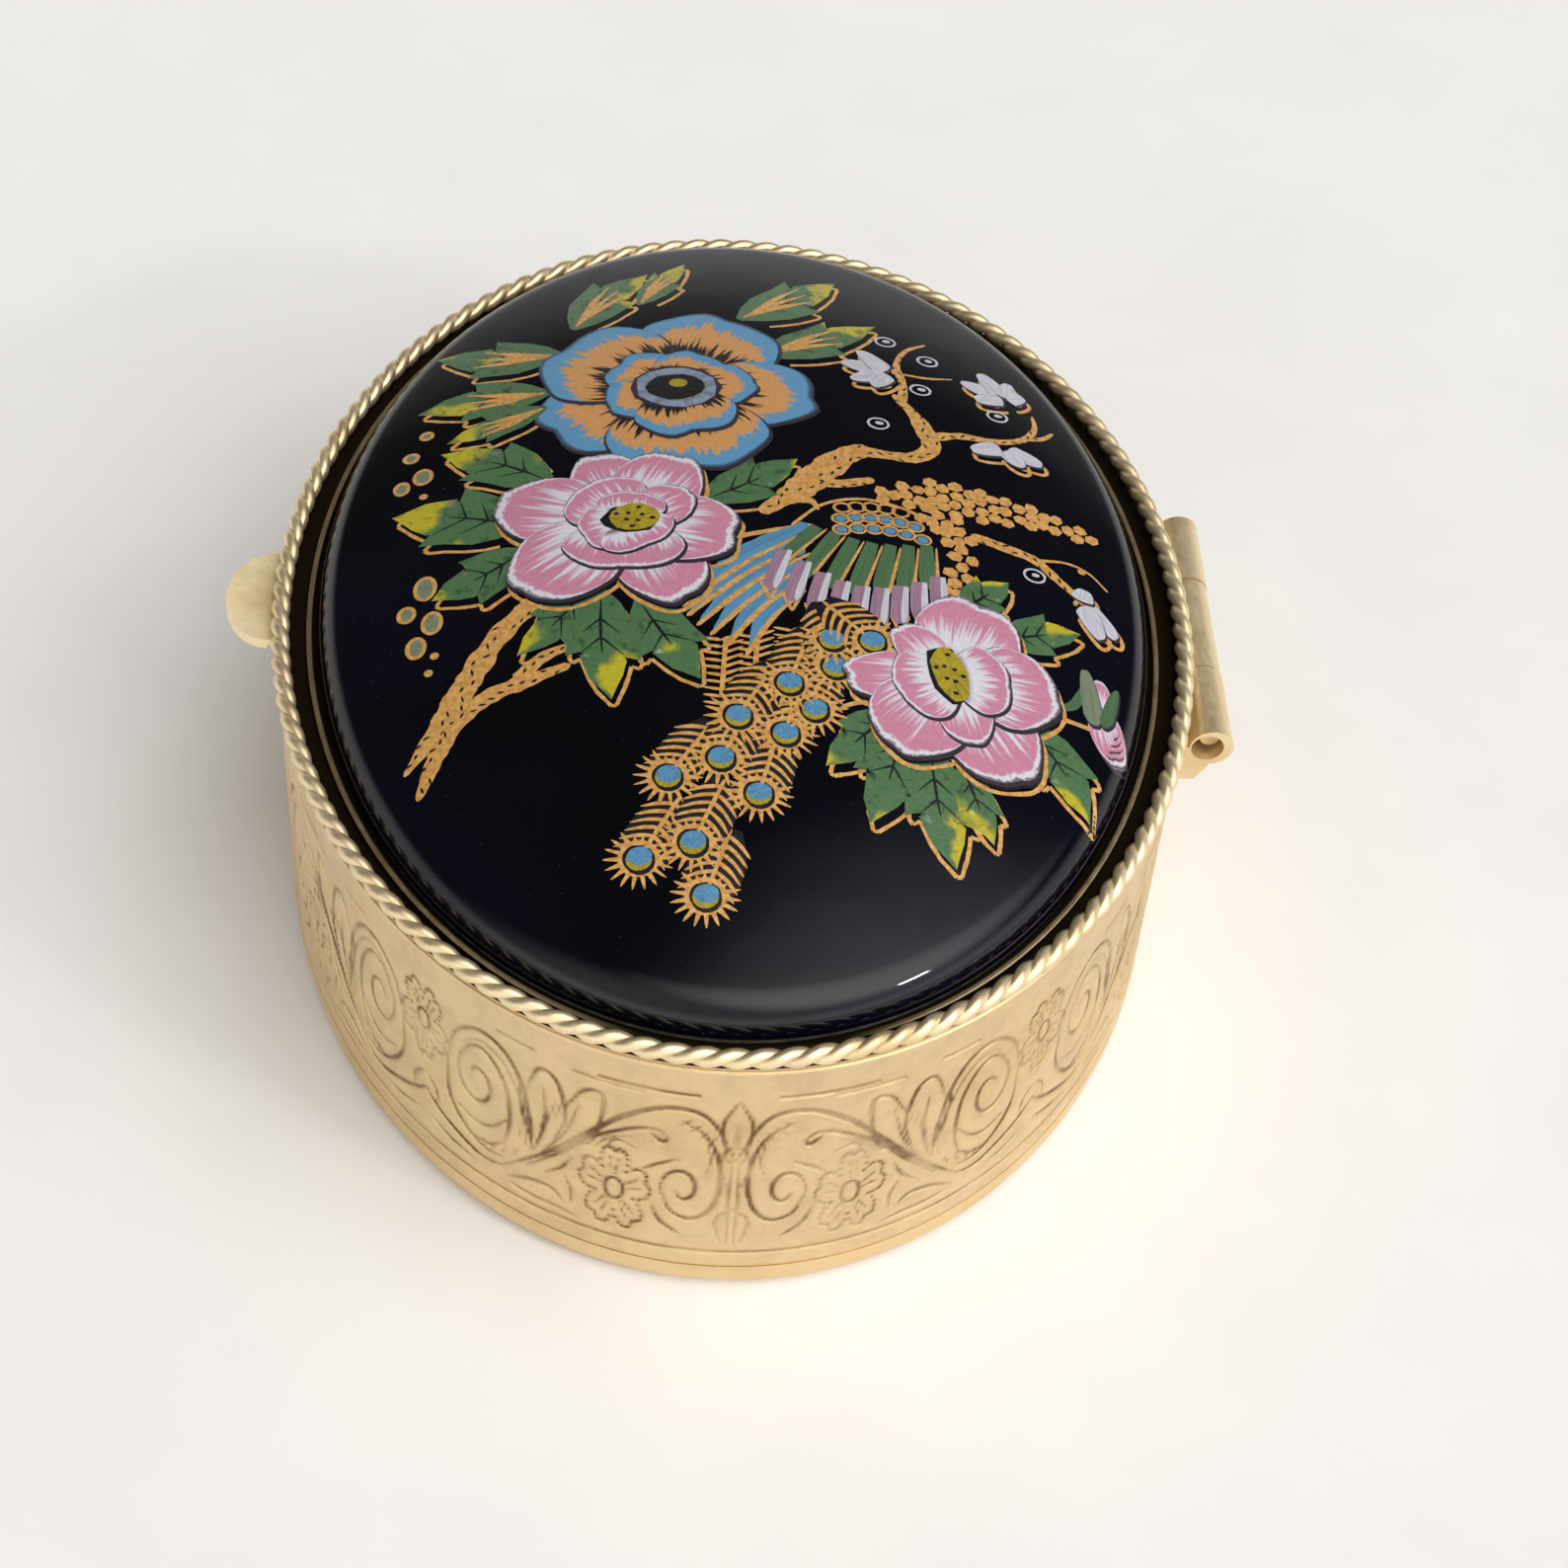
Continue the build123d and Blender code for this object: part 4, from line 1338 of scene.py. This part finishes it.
def draw_bird(transfer):
    """The bird: tail first, then neck, breast, shoulder and wing."""
    draw_tail(transfer)
    # Neck and breast, in gilt scales
    neck = (6.0, 2.7), (8.2, 3.1), (10.8, 3.0), (13.4, 2.9), (15.9, 2.3)
    breast = (7.8, 2.0), (9.0, 1.3), (9.6, -0.3), (9.3, -1.8), (8.9, -3.0)
    transfer.scales(neck, (0.9, 2.6, 2.5, 1.7, 1.0))
    transfer.scales(breast, (1.6, 1.9, 1.6, 1.4, 1.2))
    # Shoulder: rows of blue scales edged in gilt
    rows = (1.8, 4.1, 7.3, 5), (1.1, 4.0, 7.9, 6), (0.4, 4.0, 8.2, 6)
    for row, (y, x_low, x_high, count) in enumerate(rows):
        for k in range(count):
            x = x_low + (x_high - x_low) * (k + 0.5) / count
            centre = (x, y - 0.09 * (x - 6) ** 2)
            if row:
                transfer.spot("blue", centre, (0.26, 0.22), COLOUR_LIFT, steps=8)
            transfer.ring(centre, (0.36, 0.3), 0.12, COLOUR_LIFT + 0.002)
    transfer.stroke([(2.2, 0.2), (3.6, 1.7), (5.4, 2.3), (7.3, 1.9), (8.1, 1.3)], 0.16)
    # Long blue feathers
    for k in range(6):
        share = k / 5
        root = np.array([2.9 - 0.1 * k, 0.3 - 0.75 * k])
        tip = np.array([-2.3 + 2.6 * share**1.6, -4.6 - 2.7 * share])
        bow = 0.5 * (root + tip) + np.array([-0.25, 0.35])
        transfer.ink([root, bow, tip], (0.5, 0.85, 0.7, 0.12), COLOUR_LIFT, "blue")
        gilt = [root + [0.3, -0.3], bow + [0.22, -0.42], tip + [-0.15, -0.32]]
        transfer.stroke(gilt, (0.14, 0.2, 0.26, 0.2), COLOUR_LIFT + 0.003)
    # Wing: green feathers, then lilac ones with white edges
    for k in range(7):
        share = k / 6
        root = np.array([3.3 + 4.7 * share, 0.2 - 0.5 * math.sin(math.pi * share) - 0.4 * share])
        tip = np.array([1.5 + 6.4 * share, -2.4 - 1.2 * math.sin(math.pi * share) - 0.6 * share])
        draw_feather(transfer, root, tip, 0.37, COLOUR_LIFT + 0.004, "green", 0.7, 0.3)
        transfer.stroke([root + [0.42, -0.1], tip + [0.46, 0.3]], (0.1, 0.17), COLOUR_LIFT + 0.006)
    for k in range(9):
        share = k / 8
        root = np.array([1.9 + 6.5 * share, -1.4 - 1.5 * math.sin(math.pi * share) - 0.7 * share])
        tip = root + np.array([-0.7 + 0.7 * share, -2.5 + 0.3 * share])
        draw_feather(transfer, root + [-0.08, 0], tip, 0.4, COLOUR_LIFT + 0.008, "lilac", 0.7, 0.3)
        edge = root + [0.2, 0], tip + [0.18, 0.1]
        draw_feather(transfer, *edge, 0.15, COLOUR_LIFT + 0.01, "white", 0.7, 0.3)
        for side in (-0.36, 0.42):
            transfer.stroke([tip + [side, 0.55], tip + [0, -0.5]], 0.16, COLOUR_LIFT + 0.006)


def draw_feather(transfer, root, tip, half_width, lift, colour, base, drop):
    """A plain feather from its root to its tip."""
    along = tip - root
    angle = math.degrees(math.atan2(along[1], along[0]))
    transfer.petal(
        "plain", root, angle, np.linalg.norm(along), half_width, (lift - COLOUR_LIFT) / LAYER,
        start=0, base=base, drop=drop, gilt=False, shade=tone(colour), shadow=0
    )


def draw_tail(transfer):
    """A fishbone feather, then plumes that end in eyes, the lower ones first."""
    eyes = (
        (-1.5, -19.3), (-4.1, -17.6), (-2.0, -16.9), (0.6, -14.6), (-3.0, -13.8), (-0.9, -12.9),
        (1.7, -11.6), (-0.2, -10.8), (2.9, -10.3), (1.9, -9.0), (3.8, -8.0), (3.7, -6.5), (5.4, -6.4),
    )
    top = np.array([3.4, -4.4])
    gilt = transfer.stroke
    # Fishbone feather at the left
    for x, low, high in ((-0.9, -10.4, -6.6), (0.4, -10.2, -6.4), (2.0, -8.6, -6.0)):
        gilt([(x, low), (x + 0.25, high)], 0.2)
        for y in np.arange(low + 0.2, high, 0.38):
            gilt([(x + 0.05, y), (x + 0.95, y + 0.42)], (0.19, 0.1))
            gilt([(x + 0.05, y), (x - 0.7, y + 0.12)], (0.19, 0.1))
    for order, eye in enumerate(eyes):
        eye = np.array(eye)
        lift = GILT_LIFT + 0.0045 * order
        axis = eye - top
        axis = axis / np.linalg.norm(axis)
        side = across(axis)
        back = eye - axis * min(3.2, np.linalg.norm(eye - top))
        draw_feather(transfer, back, eye + axis, 1.15, lift, "black", 0.4, 0.5)
        gilt([back, eye], 0.17, lift + 0.002)
        for distance in np.arange(0.35, np.linalg.norm(eye - back) - 0.5, 0.42):
            spot = back + axis * distance
            for sign in (-1, 1):
                bend = spot + axis * 0.3 + side * sign * 0.6
                end = spot + axis * 0.75 + side * sign * 1.15
                gilt([spot, bend, end], (0.17, 0.17, 0.09), lift + 0.002)
        for angle in range(-160, 161, 20):
            ray = unit_vector(angle) @ [axis, side]
            reach = 1.4 if abs(angle) < 130 else 1.0
            gilt([eye + ray * 0.66, eye + ray * reach], (0.22, 0.09), lift + 0.002)
        transfer.ring(eye, (0.74, 0.74), 0.2, lift + 0.003)
        transfer.spot("black", eye + [0.05, -0.16], (0.6, 0.6), lift + 0.004)
        transfer.spot("mustard", eye + [0, -0.06], (0.52, 0.5), lift + 0.005)
        transfer.spot("blue", eye + [0.03, 0.1], (0.5, 0.42), lift + 0.006)


make_camera()
make_studio()
make_band()
make_rope(gold_material("gold_rope", ROPE_GOLD, 0.36, 0.3, (6, 6, 6), "valley", metal=0.8))
plain_gold = gold_material("gold_plain", GOLD, 0.38)
# The lid's plate and bezel are darkened with painted shade in the groove round the dome
lid_gold = gold_material("gold_lid", GOLD, 0.34, crevice="groove_shade", shade_colour=GROOVE_SHADE_COLOUR)
make_ring("bezel_ring", "bezel", 0.25, lid_gold, 0.06, dark=True)
make_ring("skirt_ring", "lid_skirt", 0.4, plain_gold, 0.08)
make_disc("plate_disc", "lid_plate", lid_gold)
the_dome = Dome()
make_dome(the_dome)
decorate(the_dome)
hinge_gold = gold_material("gold_hinge", HINGE_GOLD, 0.4, 0.5, metal=0.7)
finishes = {
    "hinge_knuckle_near": hinge_gold,
    "hinge_knuckle_far": hinge_gold,
    "hinge_pin": hinge_gold,
    "lid_knuckle": hinge_gold,
    "base_pan": plain_gold,
    # Painted light: the tab's pale cream gold stands in for the light its top catches
    "thumb_tab": gold_material("gold_tab", TAB_PAINTED_LIGHT, 0.5, metal=0.3),
    "cement_bed": cement_material(),
}
for node, finish in finishes.items():
    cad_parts[node].material_slots[0].material = finish
